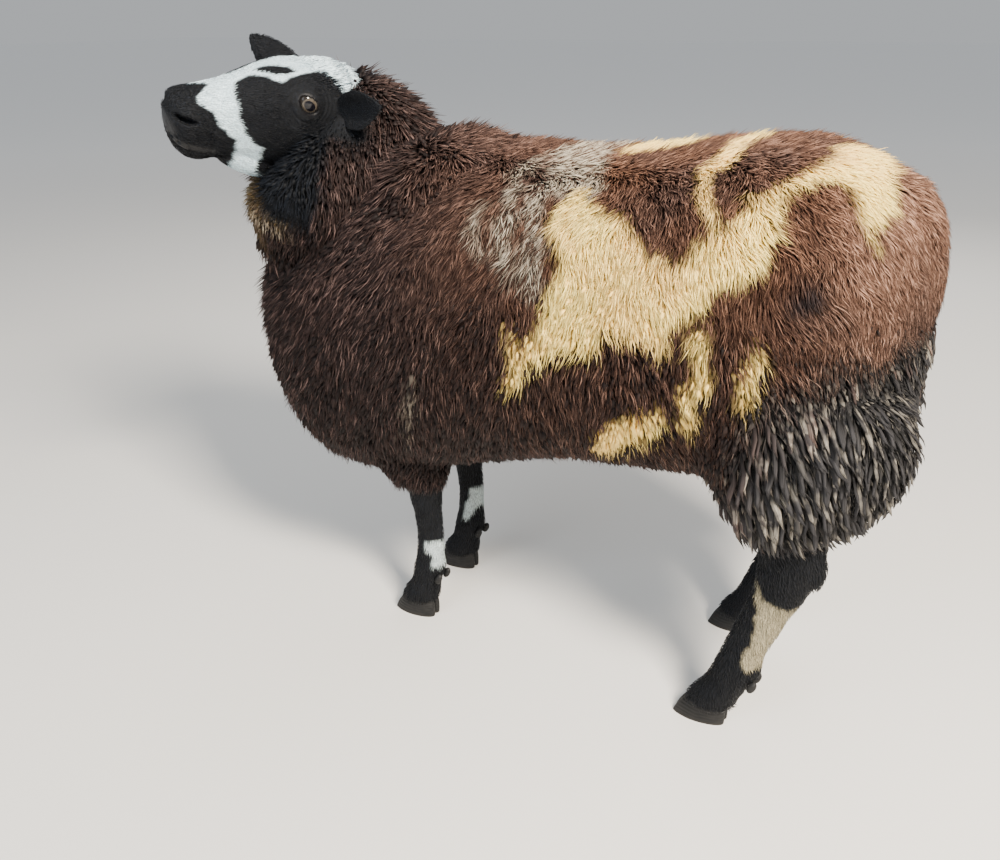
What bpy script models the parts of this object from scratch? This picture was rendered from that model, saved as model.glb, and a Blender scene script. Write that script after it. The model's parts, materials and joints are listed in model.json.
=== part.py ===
"""A Dutch Spotted ram standing in full fleece, life size, head held high and turned to its left.

Metres. +X points forwards along the body, +Y to the ram's left, +Z up, and the floor is z = 0.
The torso, neck and thighs are modelled whole and then parted by thin cuts; the head, ears, eyes,
bare legs and claws are pieces of their own.
"""

import math
import random

import bmesh
import bpy
from mathutils import Matrix, Vector
from mathutils.bvhtree import BVHTree

# Driving sizes of the ram
BODY_MIDDLE = (0.011, 0.039)    # middle of the standing ram's box, where the origin is
COAT = 0.054                     # depth of the fleece, skin to tips
CORE = COAT / 2                  # how far the solid core lies under the tips
GAP = 0.0003                     # gap kept between pieces that touch
CLEAR = 0.00045                  # how far a cutter stands off the piece it is copied from
FAR = 3.0                        # size of a cutting block, larger than the ram
SHORTEST = 0.00001               # edges shorter than this are closed up after a cut

# Torso: x, height of the back, height of the underside, half width
TORSO = (
    (-0.514, 0.620, 0.520, 0.050),
    (-0.506, 0.700, 0.450, 0.112),
    (-0.478, 0.756, 0.385, 0.168),
    (-0.424, 0.788, 0.352, 0.207),
    (-0.340, 0.810, 0.338, 0.232),
    (-0.240, 0.817, 0.330, 0.242),
    (-0.120, 0.814, 0.322, 0.246),
    (0.000, 0.806, 0.308, 0.246),
    (0.120, 0.804, 0.278, 0.241),
    (0.220, 0.804, 0.250, 0.233),
    (0.310, 0.789, 0.240, 0.222),
    (0.400, 0.747, 0.254, 0.204),
    (0.472, 0.690, 0.300, 0.174),
    (0.522, 0.630, 0.370, 0.124),
    (0.541, 0.560, 0.430, 0.056),
)
TORSO_SQUARE = 2.25              # superellipse exponent of the torso's sections

# Neck: x, y, z of the middle, half depth throat to nape, half width, pitch and yaw of its run
NECK = (
    (0.215, 0.000, 0.550, 0.150, 0.150, 50.0, 0.0),
    (0.280, 0.004, 0.608, 0.170, 0.158, 52.0, 8.0),
    (0.324, 0.024, 0.664, 0.166, 0.150, 52.0, 22.0),
    (0.346, 0.059, 0.719, 0.172, 0.142, 49.0, 38.0),
    (0.370, 0.097, 0.757, 0.162, 0.128, 46.0, 48.0),
    (0.393, 0.124, 0.781, 0.143, 0.110, 44.0, 52.0),
)

# Head: place of the middle of the skull between the eyes, and how it is turned
HEAD_AT = (0.3735, 0.1560, 0.8580)
HEAD_YAW, HEAD_PITCH, HEAD_ROLL = 61.0, 11.0, -28.0
NOSE_TO_EYES = 0.188
# Distance behind the nose tip, top, bottom, half widths of the upper, middle and lower face
HEAD = (
    (0.0000, -0.004, -0.014, 0.003, 0.005, 0.003),
    (0.0015, 0.008, -0.028, 0.012, 0.017, 0.012),
    (0.0055, 0.020, -0.042, 0.020, 0.026, 0.019),
    (0.0140, 0.029, -0.053, 0.026, 0.033, 0.024),
    (0.0320, 0.034, -0.063, 0.029, 0.037, 0.026),
    (0.0550, 0.035, -0.073, 0.027, 0.037, 0.026),
    (0.0850, 0.034, -0.090, 0.030, 0.041, 0.028),
    (0.1150, 0.035, -0.106, 0.038, 0.048, 0.032),
    (0.1450, 0.035, -0.118, 0.046, 0.054, 0.036),
    (0.1800, 0.030, -0.126, 0.050, 0.056, 0.040),
    (0.2100, 0.024, -0.124, 0.049, 0.055, 0.041),
    (0.2400, 0.016, -0.112, 0.045, 0.052, 0.040),
    (0.2680, 0.002, -0.092, 0.034, 0.044, 0.036),
)
RELIEF = (                       # rises and hollows of the face: x, y, z, radius, height
    (0.000, 0.048, 0.018, 0.028, 0.0065),
    (0.040, 0.048, -0.006, 0.016, -0.0035),
    (0.010, 0.058, -0.060, 0.034, 0.0050),
    (0.070, 0.046, -0.030, 0.016, 0.0025),
    (0.168, 0.030, 0.016, 0.014, 0.0040),
    (0.172, 0.024, -0.012, 0.015, 0.0030),
    (0.162, 0.010, -0.060, 0.020, 0.0040),
    (0.130, 0.036, -0.045, 0.018, 0.0020),
)
EYE_RADIUS = 0.0160
EYE_RINGS = (7, 22, 38, 55, 76, 110, 150)  # degrees from the middle of the pupil
EYE_AROUND = 12
EYE_AT = (0.000, 0.0435, 0.000)  # from the middle of the skull: forwards, to its side, up
EYE_OUT = (0.26, 1.0, 0.12)      # the way it looks
LID = 0.0036                     # how far the lids stand over the eye
LID_REACH, LID_SUNK = 1.30, 0.0018  # how much longer the lids' swelling is than high, how deep it sits
EYE_OPENING = (0.0150, 0.0100)   # half length and half height between the lids
EYE_SLANT = 52.0                 # degrees that the opening's back corner lies below the nasal line
NOSTRIL = ((0.006, 0.015), (0.029, 0.006))  # its front and back end: behind the nose tip, height
NOSTRIL_SIZE = (1.10, 0.0046, 0.0085)       # its length as a share of that span, half height, depth
NOSTRIL_OUT = (0.5, 1.0, 0.35)              # the way it opens
MOUTH_BACK, MOUTH_FRONT, MOUTH_CORNER = 0.046, -0.016, -0.045
LIP_RINGS, LINE_RINGS = 22, 20  # rings along the lips and along the line between them
MOUTH_DEPTH, MOUTH_LINE = 0.0085, 0.0013
LIP_ROLL, LIP_SUNK = 0.0070, 0.0050

# Legs: x, y, z of the middle of each ring, half depth fore and aft, half width
FORELEG = (
    (-0.032, 0.000, 0.300, 0.034, 0.030),
    (-0.028, 0.000, 0.262, 0.029, 0.027),
    (-0.024, 0.000, 0.238, 0.027, 0.026),
    (-0.027, 0.000, 0.205, 0.022, 0.022),
    (-0.030, 0.000, 0.160, 0.021, 0.021),
    (-0.030, 0.000, 0.118, 0.023, 0.022),
    (-0.028, 0.000, 0.092, 0.026, 0.025),
    (-0.021, 0.000, 0.066, 0.024, 0.025),
    (-0.012, 0.000, 0.046, 0.028, 0.029),
    (-0.008, 0.000, 0.030, 0.032, 0.031),
)
HINDLEG = (
    (-0.100, 0.000, 0.345, 0.050, 0.035),
    (-0.104, 0.000, 0.315, 0.046, 0.033),
    (-0.106, 0.000, 0.288, 0.044, 0.031),
    (-0.104, 0.000, 0.262, 0.041, 0.029),
    (-0.094, 0.000, 0.225, 0.037, 0.026),
    (-0.074, 0.000, 0.178, 0.034, 0.025),
    (-0.056, 0.000, 0.130, 0.033, 0.025),
    (-0.048, 0.000, 0.098, 0.034, 0.027),
    (-0.034, 0.000, 0.068, 0.033, 0.028),
    (-0.020, 0.000, 0.046, 0.035, 0.031),
    (-0.012, 0.000, 0.030, 0.035, 0.032),
)
FEET = {                         # middle of each foot on the floor
    "fore_left": (0.250, 0.082),
    "fore_right": (0.274, -0.092),
    "hind_left": (-0.270, 0.130),
    "hind_right": (-0.238, -0.122),
}
CLAW_LENGTH, CLAW_WIDTH, CLAW_HEIGHT = 0.076, 0.028, 0.038

# Thighs: x, y, z of the middle, half depth, half width
THIGH = (
    (-0.340, 0.108, 0.520, 0.166, 0.122),
    (-0.358, 0.120, 0.450, 0.162, 0.113),
    (-0.374, 0.127, 0.385, 0.138, 0.098),
    (-0.368, 0.130, 0.330, 0.094, 0.076),
    (-0.368, 0.131, 0.292, 0.056, 0.048),
)
CUFF = (                         # wool over each forearm, down to the knee
    (0.000, 0.000, 0.380, 0.080, 0.075),
    (-0.012, 0.000, 0.300, 0.062, 0.058),
    (-0.018, 0.000, 0.238, 0.044, 0.042),
)
TAIL = (                         # docked tail: x, z of the middle, half thickness, half width
    (-0.398, 0.762, 0.030, 0.040),
    (-0.444, 0.748, 0.036, 0.050),
    (-0.476, 0.706, 0.036, 0.050),
    (-0.490, 0.650, 0.030, 0.040),
    (-0.494, 0.602, 0.016, 0.020),
)

# Ears: root, direction and front edge in the head's own frame, for the left and the right one
EARS = {
    1: ((-0.046, 0.043, -0.032), (-0.0300, 0.0920, 0.0610), (-0.1, -0.6, 0.8)),
    -1: ((-0.046, -0.043, -0.032), (0.047, -0.097, 0.034), (0.7, 0.6, -0.3)),
}
EAR_LENGTH = 0.112
EAR_STEPS = 5
EAR_SECTIONS = (                 # share of the length, half width, depth of the cup, half thickness
    (0.00, 0.012, 0.002, 0.0080),
    (0.12, 0.014, 0.003, 0.0070),
    (0.26, 0.020, 0.007, 0.0040),
    (0.42, 0.026, 0.010, 0.0030),
    (0.60, 0.0275, 0.010, 0.0030),
    (0.76, 0.023, 0.008, 0.0028),
    (0.90, 0.014, 0.004, 0.0024),
    (1.00, 0.004, 0.001, 0.0016),
)
# Clumps of fleece: even spacing, size, and where along a clump its rings lie
SEED = 3
SPACING = 0.089
CLUMP_LENGTH, CLUMP_WIDTH = 0.146, 0.118
CLUMP_SIDES = 5
CLUMP_RINGS = (                  # share of the length, height over the core, half width, half thickness
    (0.24, -0.003, 0.84, 0.022),
    (0.68, 0.011, 0.92, 0.018),
)
CLUMP_ROOT, CLUMP_TIP = (-0.02, -0.024), (1.00, 0.005)
CLUMP_BACK = 0.42                # share of a clump's length that lies before its place on the core
CLUMP_TWIST = 0.25               # how far its run strays to either side
CLUMP_SIZES, CLUMP_LIFTS = (0.90, 1.10), (0.85, 1.10)
CLUMP_FREE = 0.018               # room that a clump's middle keeps from the head
LIE = Vector((-0.42, 0.0, -1.0))  # the way the fleece hangs, before it follows the surface

HEAD_STEPS, HEAD_AROUND = 20, 24
NOSE_STEP = HEAD[-1][0] / (HEAD_STEPS - 1) ** 2

# Cuts between the pieces: the neck's slants up and back from the chest to the withers
NECK_CUT = Matrix.Translation((0.330, 0.0, 0.690)) @ Matrix.Rotation(math.radians(34), 4, "Y")
SHOULDER_CUT, FLANK_CUT, THIGH_CUT = 0.080, -0.185, 0.455
CROTCH = 0.035                   # half the room that the belly keeps between the thighs
FOREARM_CUT = (0.155, 0.345, 0.335)  # back, front and top of the wool that goes with a foreleg
BRISKET = 0.018                  # half the width that the chest keeps between the forelegs

WOOL, DARK, HORN, AMBER = (0.16, 0.085, 0.055), (0.025, 0.025, 0.03), (0.05, 0.045, 0.04), (0.35, 0.24, 0.08)


def clear_scene():
    for thing in list(bpy.data.objects):
        bpy.data.objects.remove(thing)


def material(name, colour, roughness):
    made = bpy.data.materials.new(name)
    made.use_nodes = True
    shader = made.node_tree.nodes["Principled BSDF"]
    shader.inputs["Base Color"].default_value = (*colour, 1.0)
    shader.inputs["Roughness"].default_value = roughness
    made.diffuse_color = (*colour, 1.0)
    return made


def eased(rows, at):
    """The row of a table at this value of its first column, on a smooth curve through the rows."""
    keys = [row[0] for row in rows]
    at = min(max(at, min(keys)), max(keys))
    i = max(k for k in range(len(rows) - 1) if keys[k] <= at or k == 0)
    share = (at - keys[i]) / (keys[i + 1] - keys[i])
    before, here = rows[max(i - 1, 0)], rows[i]
    there, after = rows[i + 1], rows[min(i + 2, len(rows) - 1)]
    found = []
    for p, q, r, s in zip(before, here, there, after):
        slope_in, slope_out = (r - p) / 2, (s - q) / 2
        found.append(q + share * (slope_in + share * (
            3 * (r - q) - 2 * slope_in - slope_out + share * (slope_in + slope_out - 2 * (r - q)))))
    return found


def along(rows, count):
    """That many rows, evenly spaced in number along a table, on a smooth curve through its rows."""
    numbered = [(float(i), *row) for i, row in enumerate(rows)]
    last = len(rows) - 1
    return [eased(numbered, last * i / (count - 1))[1:] for i in range(count)]


def object_from(name, points, faces, finish):
    mesh = bpy.data.meshes.new(name)
    mesh.from_pydata([tuple(p) for p in points], [], faces)
    mesh.validate()
    shape = bmesh.new()
    shape.from_mesh(mesh)
    bmesh.ops.recalc_face_normals(shape, faces=shape.faces)
    bmesh.ops.triangulate(shape, faces=shape.faces)
    shape.to_mesh(mesh)
    shape.free()
    mesh.materials.append(finish)
    made = bpy.data.objects.new(name, mesh)
    bpy.context.scene.collection.objects.link(made)
    return made


def loft(name, rings, finish):
    """A closed solid through rings of equal count, with a face at each end."""
    around = len(rings[0])
    points = [point for ring in rings for point in ring]
    faces = [tuple(range(around)), tuple(range(len(points) - around, len(points)))]
    for i in range(len(rings) - 1):
        for k in range(around):
            a, b = i * around + k, i * around + (k + 1) % around
            faces.append((a, b, b + around, a + around))
    return object_from(name, points, faces, finish)


def superellipse(angle, power):
    """Unit section: its width and height at this angle, squarer as the power grows."""
    c, s = math.cos(angle), math.sin(angle)
    shape = (abs(c) ** power + abs(s) ** power) ** (-1 / power)
    return c * shape, s * shape


def oval(centre, across, up, half_width, half_height, around, power=2.0):
    ring = []
    for k in range(around):
        wide, high = superellipse(2 * math.pi * k / around, power)
        ring.append(centre + across * (wide * half_width) + up * (high * half_height))
    return ring


def torso_rings(count, around, inset=0.0):
    rings = []
    shorter = 1 + inset / TORSO[0][0]
    for x, top, bottom, half in along(TORSO, count):
        middle = Vector((x * shorter, 0.0, (top + bottom) / 2))
        ring = oval(middle, Vector((0, 1, 0)), Vector((0, 0, 1)), max(half - inset, 0.01),
                    max((top - bottom) / 2 - inset, 0.01), around, TORSO_SQUARE)
        rings.append(ring)
    return rings


def neck_rings(count, around, inset=0.0):
    rings = []
    for x, y, z, deep, half, pitch, yaw in along(NECK, count):
        turn = Matrix.Rotation(math.radians(yaw), 3, "Z") @ Matrix.Rotation(-math.radians(pitch), 3, "Y")
        rings.append(oval(Vector((x, y, z)), turn @ Vector((0, 1, 0)), turn @ Vector((0, 0, 1)),
                          half - inset, deep - inset, around))
    return rings


def upright_rings(rows, count, around, at=(0.0, 0.0), side=1.0, inset=0.0):
    """Level rings down a leg: rows of x, y, z, half depth, half width."""
    rings = []
    for x, y, z, deep, half in along(rows, count):
        centre = Vector((at[0] + x, at[1] + side * y, z))
        rings.append(oval(centre, Vector((1, 0, 0)), Vector((0, 1, 0)), deep - inset, half - inset, around))
    return rings


def tail_rings(count, around):
    """Rings square to the tail's run, which bends down over the rump."""
    rows = along(TAIL, count)
    rings = []
    for i, (x, z, thick, half) in enumerate(rows):
        before, after = rows[max(i - 1, 0)], rows[min(i + 1, count - 1)]
        run = Vector((after[0] - before[0], 0.0, after[1] - before[1])).normalized()
        rings.append(oval(Vector((x, 0, z)), Vector((0, 1, 0)), Vector((run.z, 0, -run.x)), half, thick, around))
    return rings


def head_turn():
    return (Matrix.Translation(HEAD_AT)
            @ Matrix.Rotation(math.radians(HEAD_YAW), 4, "Z")
            @ Matrix.Rotation(math.radians(HEAD_PITCH), 4, "Y")
            @ Matrix.Rotation(math.radians(HEAD_ROLL), 4, "X"))


def head_point(behind, angle):
    """A point of the head's surface, in the head's own frame, this far behind the nose tip."""
    _, top, bottom, upper, middle, lower = eased(HEAD, behind)
    c, s = math.cos(angle), math.sin(angle)
    across = s * (middle + (upper - lower) * c + (math.sqrt(2) * (upper + lower) - 2 * middle) * c * c)
    point = Vector((NOSE_TO_EYES - behind, across, (top + bottom) / 2 + c * (top - bottom) / 2))
    out = Vector((0.0, s, c * 0.7)).normalized()
    for x, y, z, radius, height in RELIEF:
        for side in (y, -y):
            away = (point - Vector((x, side, z))).length / radius
            point = point + out * (height * math.exp(-away * away))
    return point


def head_rings(stations, around):
    turn = head_turn()
    return [[turn @ head_point(behind, 2 * math.pi * k / around) for k in range(around)] for behind in stations]


def surface_at(behind, height):
    """The point on the head's left side this far behind the nose tip and at this height."""
    _, top, bottom, *_ = eased(HEAD, behind)
    share = (height - (top + bottom) / 2) / ((top - bottom) / 2)
    return head_point(behind, math.acos(min(max(share, -1.0), 1.0)))


def mouth_path(count):
    """Points of the lips' line from the right corner round the front to the left, with the way out."""
    path = []
    for k in range(count):
        share = 2 * k / (count - 1) - 1
        behind = MOUTH_BACK * share ** 2
        height = MOUTH_FRONT + (MOUTH_CORNER - MOUTH_FRONT) * abs(share) ** 1.4
        point = surface_at(behind, height)
        point.y *= (share > 0) - (share < 0)
        out = Vector((1.0 - abs(share), point.y * 40, 0.0)).normalized()
        path.append((point, out))
    return path


def strip(name, path, finish, around, half_out, half_up, sunk, fade):
    """A closed roll or blade along a path, that thins and sinks over a few steps at both ends."""
    turn = head_turn()
    rings = []
    for i, (point, out) in enumerate(path):
        up = (Vector((0.0, 0.0, 1.0)) - out * out.z).normalized()
        whole = min(1.0, min(i, len(path) - 1 - i) / fade)
        size = 0.25 + 0.75 * whole
        low = sunk + half_out * 0.6 * (1 - whole)
        ring = []
        for k in range(around):
            angle = 2 * math.pi * (k + 0.5) / around
            ring.append(turn @ (point + out * (math.cos(angle) * half_out * size - low)
                                + up * (math.sin(angle) * half_up * size)))
        rings.append(ring)
    return loft(name, rings, finish)


def eye_frame(side):
    """Place and turn of an eye: its own X runs to the opening's back corner and its Z out of the head."""
    out = Vector((EYE_OUT[0], side * EYE_OUT[1], EYE_OUT[2])).normalized()
    slant = math.radians(EYE_SLANT)
    back = Vector((-math.cos(slant), 0.0, -math.sin(slant)))
    back = (back - out * back.dot(out)).normalized()
    turn = Matrix((back, out.cross(back), out)).transposed().to_4x4()
    return head_turn() @ Matrix.Translation((EYE_AT[0], side * EYE_AT[1], EYE_AT[2])) @ turn


def eyeball(name, side, finish):
    """An eye, with its finest rings round the pupil."""
    frame = eye_frame(side)
    rings = []
    for polar in EYE_RINGS:
        out, wide = EYE_RADIUS * math.cos(math.radians(polar)), EYE_RADIUS * math.sin(math.radians(polar))
        turns = [2 * math.pi * (k + 0.3) / EYE_AROUND for k in range(EYE_AROUND)]
        rings.append([frame @ Vector((math.cos(turn) * wide, math.sin(turn) * wide, out)) for turn in turns])
    return loft(name, rings, finish)


def eye_opening(side, finish):
    """The almond cut between the lids."""
    frame = eye_frame(side)
    length, height = EYE_OPENING
    rings = []
    for depth, grow in ((0.004, 0.80), (EYE_RADIUS + 2 * LID, 1.16)):
        ring = []
        for k in range(16):
            angle = 2 * math.pi * k / 16
            c, d = math.cos(angle), math.sin(angle)
            ring.append(frame @ Vector((c * length * grow, d * height * grow * (1 - 0.22 * c * c), depth)))
        rings.append(ring)
    return loft("eye_opening", rings, finish)


def nostril(side, finish):
    """The slanting hollow of a nostril, from the front of the muzzle back along its side."""
    front, back = (surface_at(*end) for end in NOSTRIL)
    span = back - front
    run = span.normalized()
    out = Vector(NOSTRIL_OUT)
    out = (out - run * out.dot(run)).normalized()
    turn = Matrix((run, out.cross(run), out)).transposed().to_4x4()
    long, high, deep = NOSTRIL_SIZE
    size = Matrix.Diagonal((span.length / 2 * long, high, deep, 1.0))
    made = ball("nostril", Vector(), 1.0, finish, 2)
    mirror = Matrix.Diagonal((1.0, side, 1.0, 1.0))
    made.data.transform(head_turn() @ mirror @ Matrix.Translation((front + back) / 2) @ turn @ size)
    if side < 0:
        made.data.flip_normals()
    return made


def lids(side, finish):
    """The swelling of the lids over an eye, longest along their opening."""
    made = ball("lids", Vector(), EYE_RADIUS + LID, finish, 3)
    low = Matrix.Translation((0.0, 0.0, -LID_SUNK))
    made.data.transform(eye_frame(side) @ low @ Matrix.Diagonal((LID_REACH, 1.0, 1.0, 1.0)))
    return made


def head_form(name, finish):
    """The head as one smooth form."""
    return loft(name, head_rings([NOSE_STEP * k * k for k in range(HEAD_STEPS)], HEAD_AROUND), finish)


def make_head(finish):
    """The head with its lips, lids, nostrils and the openings for its eyes."""
    head = head_form("head", finish)
    lips = strip("lips", mouth_path(LIP_RINGS), finish, 8, LIP_ROLL, LIP_ROLL, LIP_SUNK, 5)
    boolean(head, "UNION", [lids(1, finish), lids(-1, finish), lips])
    cuts = [strip("mouth_line", mouth_path(LINE_RINGS), finish, 4, MOUTH_DEPTH, MOUTH_LINE, 0.0, 4)]
    cuts += [hollow(side, finish) for side in (1, -1) for hollow in (eye_opening, nostril)]
    boolean(head, "DIFFERENCE", cuts)
    return head


def ball(name, centre, radius, finish, detail=3):
    shape = bmesh.new()
    bmesh.ops.create_icosphere(shape, subdivisions=detail, radius=radius)
    bmesh.ops.translate(shape, vec=centre, verts=shape.verts)
    mesh = bpy.data.meshes.new(name)
    shape.to_mesh(mesh)
    shape.free()
    mesh.materials.append(finish)
    made = bpy.data.objects.new(name, mesh)
    bpy.context.scene.collection.objects.link(made)
    return made


def block(name, low, high):
    """A cutting block, kept out of the model."""
    shape = bmesh.new()
    bmesh.ops.create_cube(shape, size=1.0)
    bmesh.ops.scale(shape, vec=Vector(high) - Vector(low), verts=shape.verts)
    bmesh.ops.translate(shape, vec=(Vector(low) + Vector(high)) / 2, verts=shape.verts)
    mesh = bpy.data.meshes.new(name)
    shape.to_mesh(mesh)
    shape.free()
    made = bpy.data.objects.new(name, mesh)
    bpy.context.scene.collection.objects.link(made)
    made.hide_render = True
    made.display_type = "WIRE"
    return made


def swollen(piece):
    """A copy of a piece with its surface moved outwards, to cut its neighbour clear of it."""
    made = piece.copy()
    made.data = piece.data.copy()
    bpy.context.scene.collection.objects.link(made)
    made.hide_render = True
    made.display_type = "WIRE"
    shape = bmesh.new()
    shape.from_mesh(made.data)
    shape.normal_update()
    moved = [(vertex, vertex.normal * CLEAR) for vertex in shape.verts]
    for vertex, shift in moved:
        vertex.co += shift
    shape.to_mesh(made.data)
    shape.free()
    return made


def freeze(piece):
    """Applies a piece's modifiers."""
    graph = bpy.context.evaluated_depsgraph_get()
    graph.update()
    made = bpy.data.meshes.new_from_object(piece.evaluated_get(graph))
    piece.modifiers.clear()
    piece.data = made


def boolean(piece, operation, others):
    """Joins, cuts or keeps, with a list of closed objects that are then removed."""
    group = bpy.data.collections.new(piece.name + "_with")
    bpy.context.scene.collection.children.link(group)
    for other in others:
        group.objects.link(other)
    work = piece.modifiers.new("work", "BOOLEAN")
    work.operation = operation
    work.solver = "MANIFOLD"
    work.operand_type = "COLLECTION"
    work.collection = group
    freeze(piece)
    for other in list(group.objects):
        bpy.data.objects.remove(other)
    bpy.data.collections.remove(group)
    keep_largest(piece)


def keep_largest(piece):
    """Drops every closed surface of a piece but the largest."""
    shape = bmesh.new()
    shape.from_mesh(piece.data)
    waiting, groups = set(shape.verts), []
    while waiting:
        found = {waiting.pop()}
        edge = list(found)
        while edge:
            near = {e.other_vert(v) for v in edge for e in v.link_edges} & waiting
            waiting -= near
            found |= near
            edge = list(near)
        groups.append(found)

    def span(group):
        return sum(max(v.co[i] for v in group) - min(v.co[i] for v in group) for i in range(3))

    largest = max(groups, key=span)
    bmesh.ops.delete(shape, geom=[v for v in shape.verts if v not in largest], context="VERTS")
    bmesh.ops.dissolve_degenerate(shape, dist=SHORTEST, edges=shape.edges)
    shape.to_mesh(piece.data)
    shape.free()


def only(whole, name, inside, outside):
    """The part of the whole inside every one of some blocks and outside some others, as a node."""
    made = whole.copy()
    made.data = whole.data.copy()
    made.name = name
    bpy.context.scene.collection.objects.link(made)
    for cell in inside:
        boolean(made, "INTERSECT", [cell])
    if outside:
        boolean(made, "DIFFERENCE", outside)
    return made


def claw(name, foot, side, finish):
    """One claw of a cloven foot: flat sole, sloping toe, straight inner wall."""
    cx, cy = foot
    rings = []
    for height, length, width, back in ((0.0, 1.0, 1.0, 0.0), (0.45, 0.90, 0.98, 0.004), (1.0, 0.62, 0.84, 0.010)):
        ring = []
        for k in range(10):
            angle = 2 * math.pi * k / 10
            x = math.cos(angle) * CLAW_LENGTH / 2 * length - back
            y = max(math.sin(angle), -0.42) * CLAW_WIDTH / 2 * width
            pull = 1.0 - 0.30 * max(math.cos(angle), 0.0) ** 2
            inner = CLAW_WIDTH / 2 * 0.42 + 0.0012
            ring.append(Vector((cx + x, cy + side * (y * pull + inner), height * CLAW_HEIGHT)))
        rings.append(ring)
    return loft(name, rings, finish)


def ear(name, side, finish):
    """A leaf-shaped ear, cupped along its length."""
    turn = head_turn()
    root, aim = Vector(EARS[side][0]), Vector(EARS[side][1]).normalized()
    across = (Vector(EARS[side][2]) - aim * aim.dot(Vector(EARS[side][2]))).normalized()
    out = aim.cross(across) * side
    rings = []
    for step, width, cup, thick in EAR_SECTIONS:
        centre = root + aim * (EAR_LENGTH * step)
        edge = [-1 + 2 * k / EAR_STEPS for k in range(EAR_STEPS + 1)]
        front = [(t, cup * t * t + thick * (1 - 0.6 * t * t)) for t in edge]
        back = [(t * 0.97, cup * t * t - thick * (1 - 0.6 * t * t)) for t in reversed(edge)]
        rings.append([turn @ (centre + across * (t * width) + out * lift) for t, lift in front + back])
    return loft(name, rings, finish)


def flow(normal):
    """The way the fleece lies on a surface that faces this way."""
    along_surface = LIE - normal * LIE.dot(normal)
    if along_surface.length < 0.05:
        along_surface = Vector((-1, 0, 0)) + normal * normal.x
    return along_surface.normalized()


def spread(surface, spacing, draw, tries=9000):
    """Evenly spaced points with normals on a mesh: random ones, each kept only clear of those before."""
    surface.data.calc_loop_triangles()
    triangles = surface.data.loop_triangles
    corners = [[surface.data.vertices[k].co for k in t.vertices] for t in triangles]
    normals = [[surface.data.vertices[k].normal for k in t.vertices] for t in triangles]
    picks = draw.choices(range(len(corners)), [t.area for t in triangles], k=tries)
    kept = []
    for pick in picks:
        a, b = sorted((draw.random(), draw.random()))
        shares = (a, b - a, 1 - b)
        point = sum((c * s for c, s in zip(corners[pick], shares)), Vector())
        normal = sum((n * s for n, s in zip(normals[pick], shares)), Vector()).normalized()
        if all((point - other).length > spacing for other, _ in kept):
            kept.append((point, normal))
    return kept


def clump(name, point, normal, finish, draw):
    """A rounded clump of fleece: rooted under the core, wide in the middle, its tip lying down."""
    size = draw.uniform(*CLUMP_SIZES)
    run = flow(normal)
    run = (run + run.cross(normal) * draw.uniform(-CLUMP_TWIST, CLUMP_TWIST)).normalized()
    across = normal.cross(run).normalized()
    length, width = size * CLUMP_LENGTH, size * CLUMP_WIDTH
    start = point - run * (length * CLUMP_BACK)
    lift = size * draw.uniform(*CLUMP_LIFTS)
    points = [start + run * (length * CLUMP_ROOT[0]) + normal * (CLUMP_ROOT[1] * lift)]
    for share, height, wide, thick in CLUMP_RINGS:
        centre = start + run * (length * share) + normal * (height * lift)
        for k in range(CLUMP_SIDES):
            angle = 2 * math.pi * (k + 0.5) / CLUMP_SIDES + math.pi / 2
            side, up = math.cos(angle) * width / 2 * wide, math.sin(angle) * thick * lift
            points.append(centre + across * side + normal * up)
    points.append(start + run * (length * CLUMP_TIP[0]) + normal * (CLUMP_TIP[1] * lift))
    rings, sides, last = len(CLUMP_RINGS), CLUMP_SIDES, len(points) - 1
    faces = []
    for k in range(sides):
        after = (k + 1) % sides
        faces.append((0, 1 + after, 1 + k))
        faces.append((last, 1 + (rings - 1) * sides + k, 1 + (rings - 1) * sides + after))
        for r in range(rings - 1):
            a, b = 1 + r * sides + k, 1 + r * sides + after
            faces.append((a, b, b + sides))
            faces.append((a, b + sides, a + sides))
    return object_from(name, points, faces, finish)


def dress(core, head, finish):
    """Covers the core with clumps of fleece, but for where they would grow through the head."""
    draw = random.Random(SEED)
    tree = BVHTree.FromPolygons([v.co for v in head.data.vertices], [f.vertices for f in head.data.polygons])
    fleece = []
    for point, normal in spread(core, SPACING, draw):
        nearest, out, _, away = tree.find_nearest(point)
        if away > CLUMP_FREE and (point - nearest).dot(out) > 0:
            fleece.append(clump("clump", point, normal, finish, draw))
    boolean(core, "UNION", fleece)


def slab(x=(-FAR, FAR), y=(-FAR, FAR), z=(-FAR, FAR), grow=-GAP / 2):
    """A cutting block between these limits, drawn in or let out by half the gap between pieces."""
    return block("slab", (x[0] - grow, y[0] - grow, z[0] - grow), (x[1] + grow, y[1] + grow, z[1] + grow))


def neck_slab(z):
    """A block above or below the slanting cut of the neck."""
    made = slab(z=z)
    for corner in made.data.vertices:
        corner.co = NECK_CUT @ corner.co
    return made


def thigh_slab(side, grow):
    y = (CROTCH, FAR) if side > 0 else (-FAR, -CROTCH)
    return slab((-FAR, FLANK_CUT), y, (-FAR, THIGH_CUT), grow)


def forearm_slab(side, grow):
    back, front, top = FOREARM_CUT
    y = (BRISKET, FAR) if side > 0 else (-FAR, -BRISKET)
    return slab((back, front), y, (-FAR, top), grow)


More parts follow.
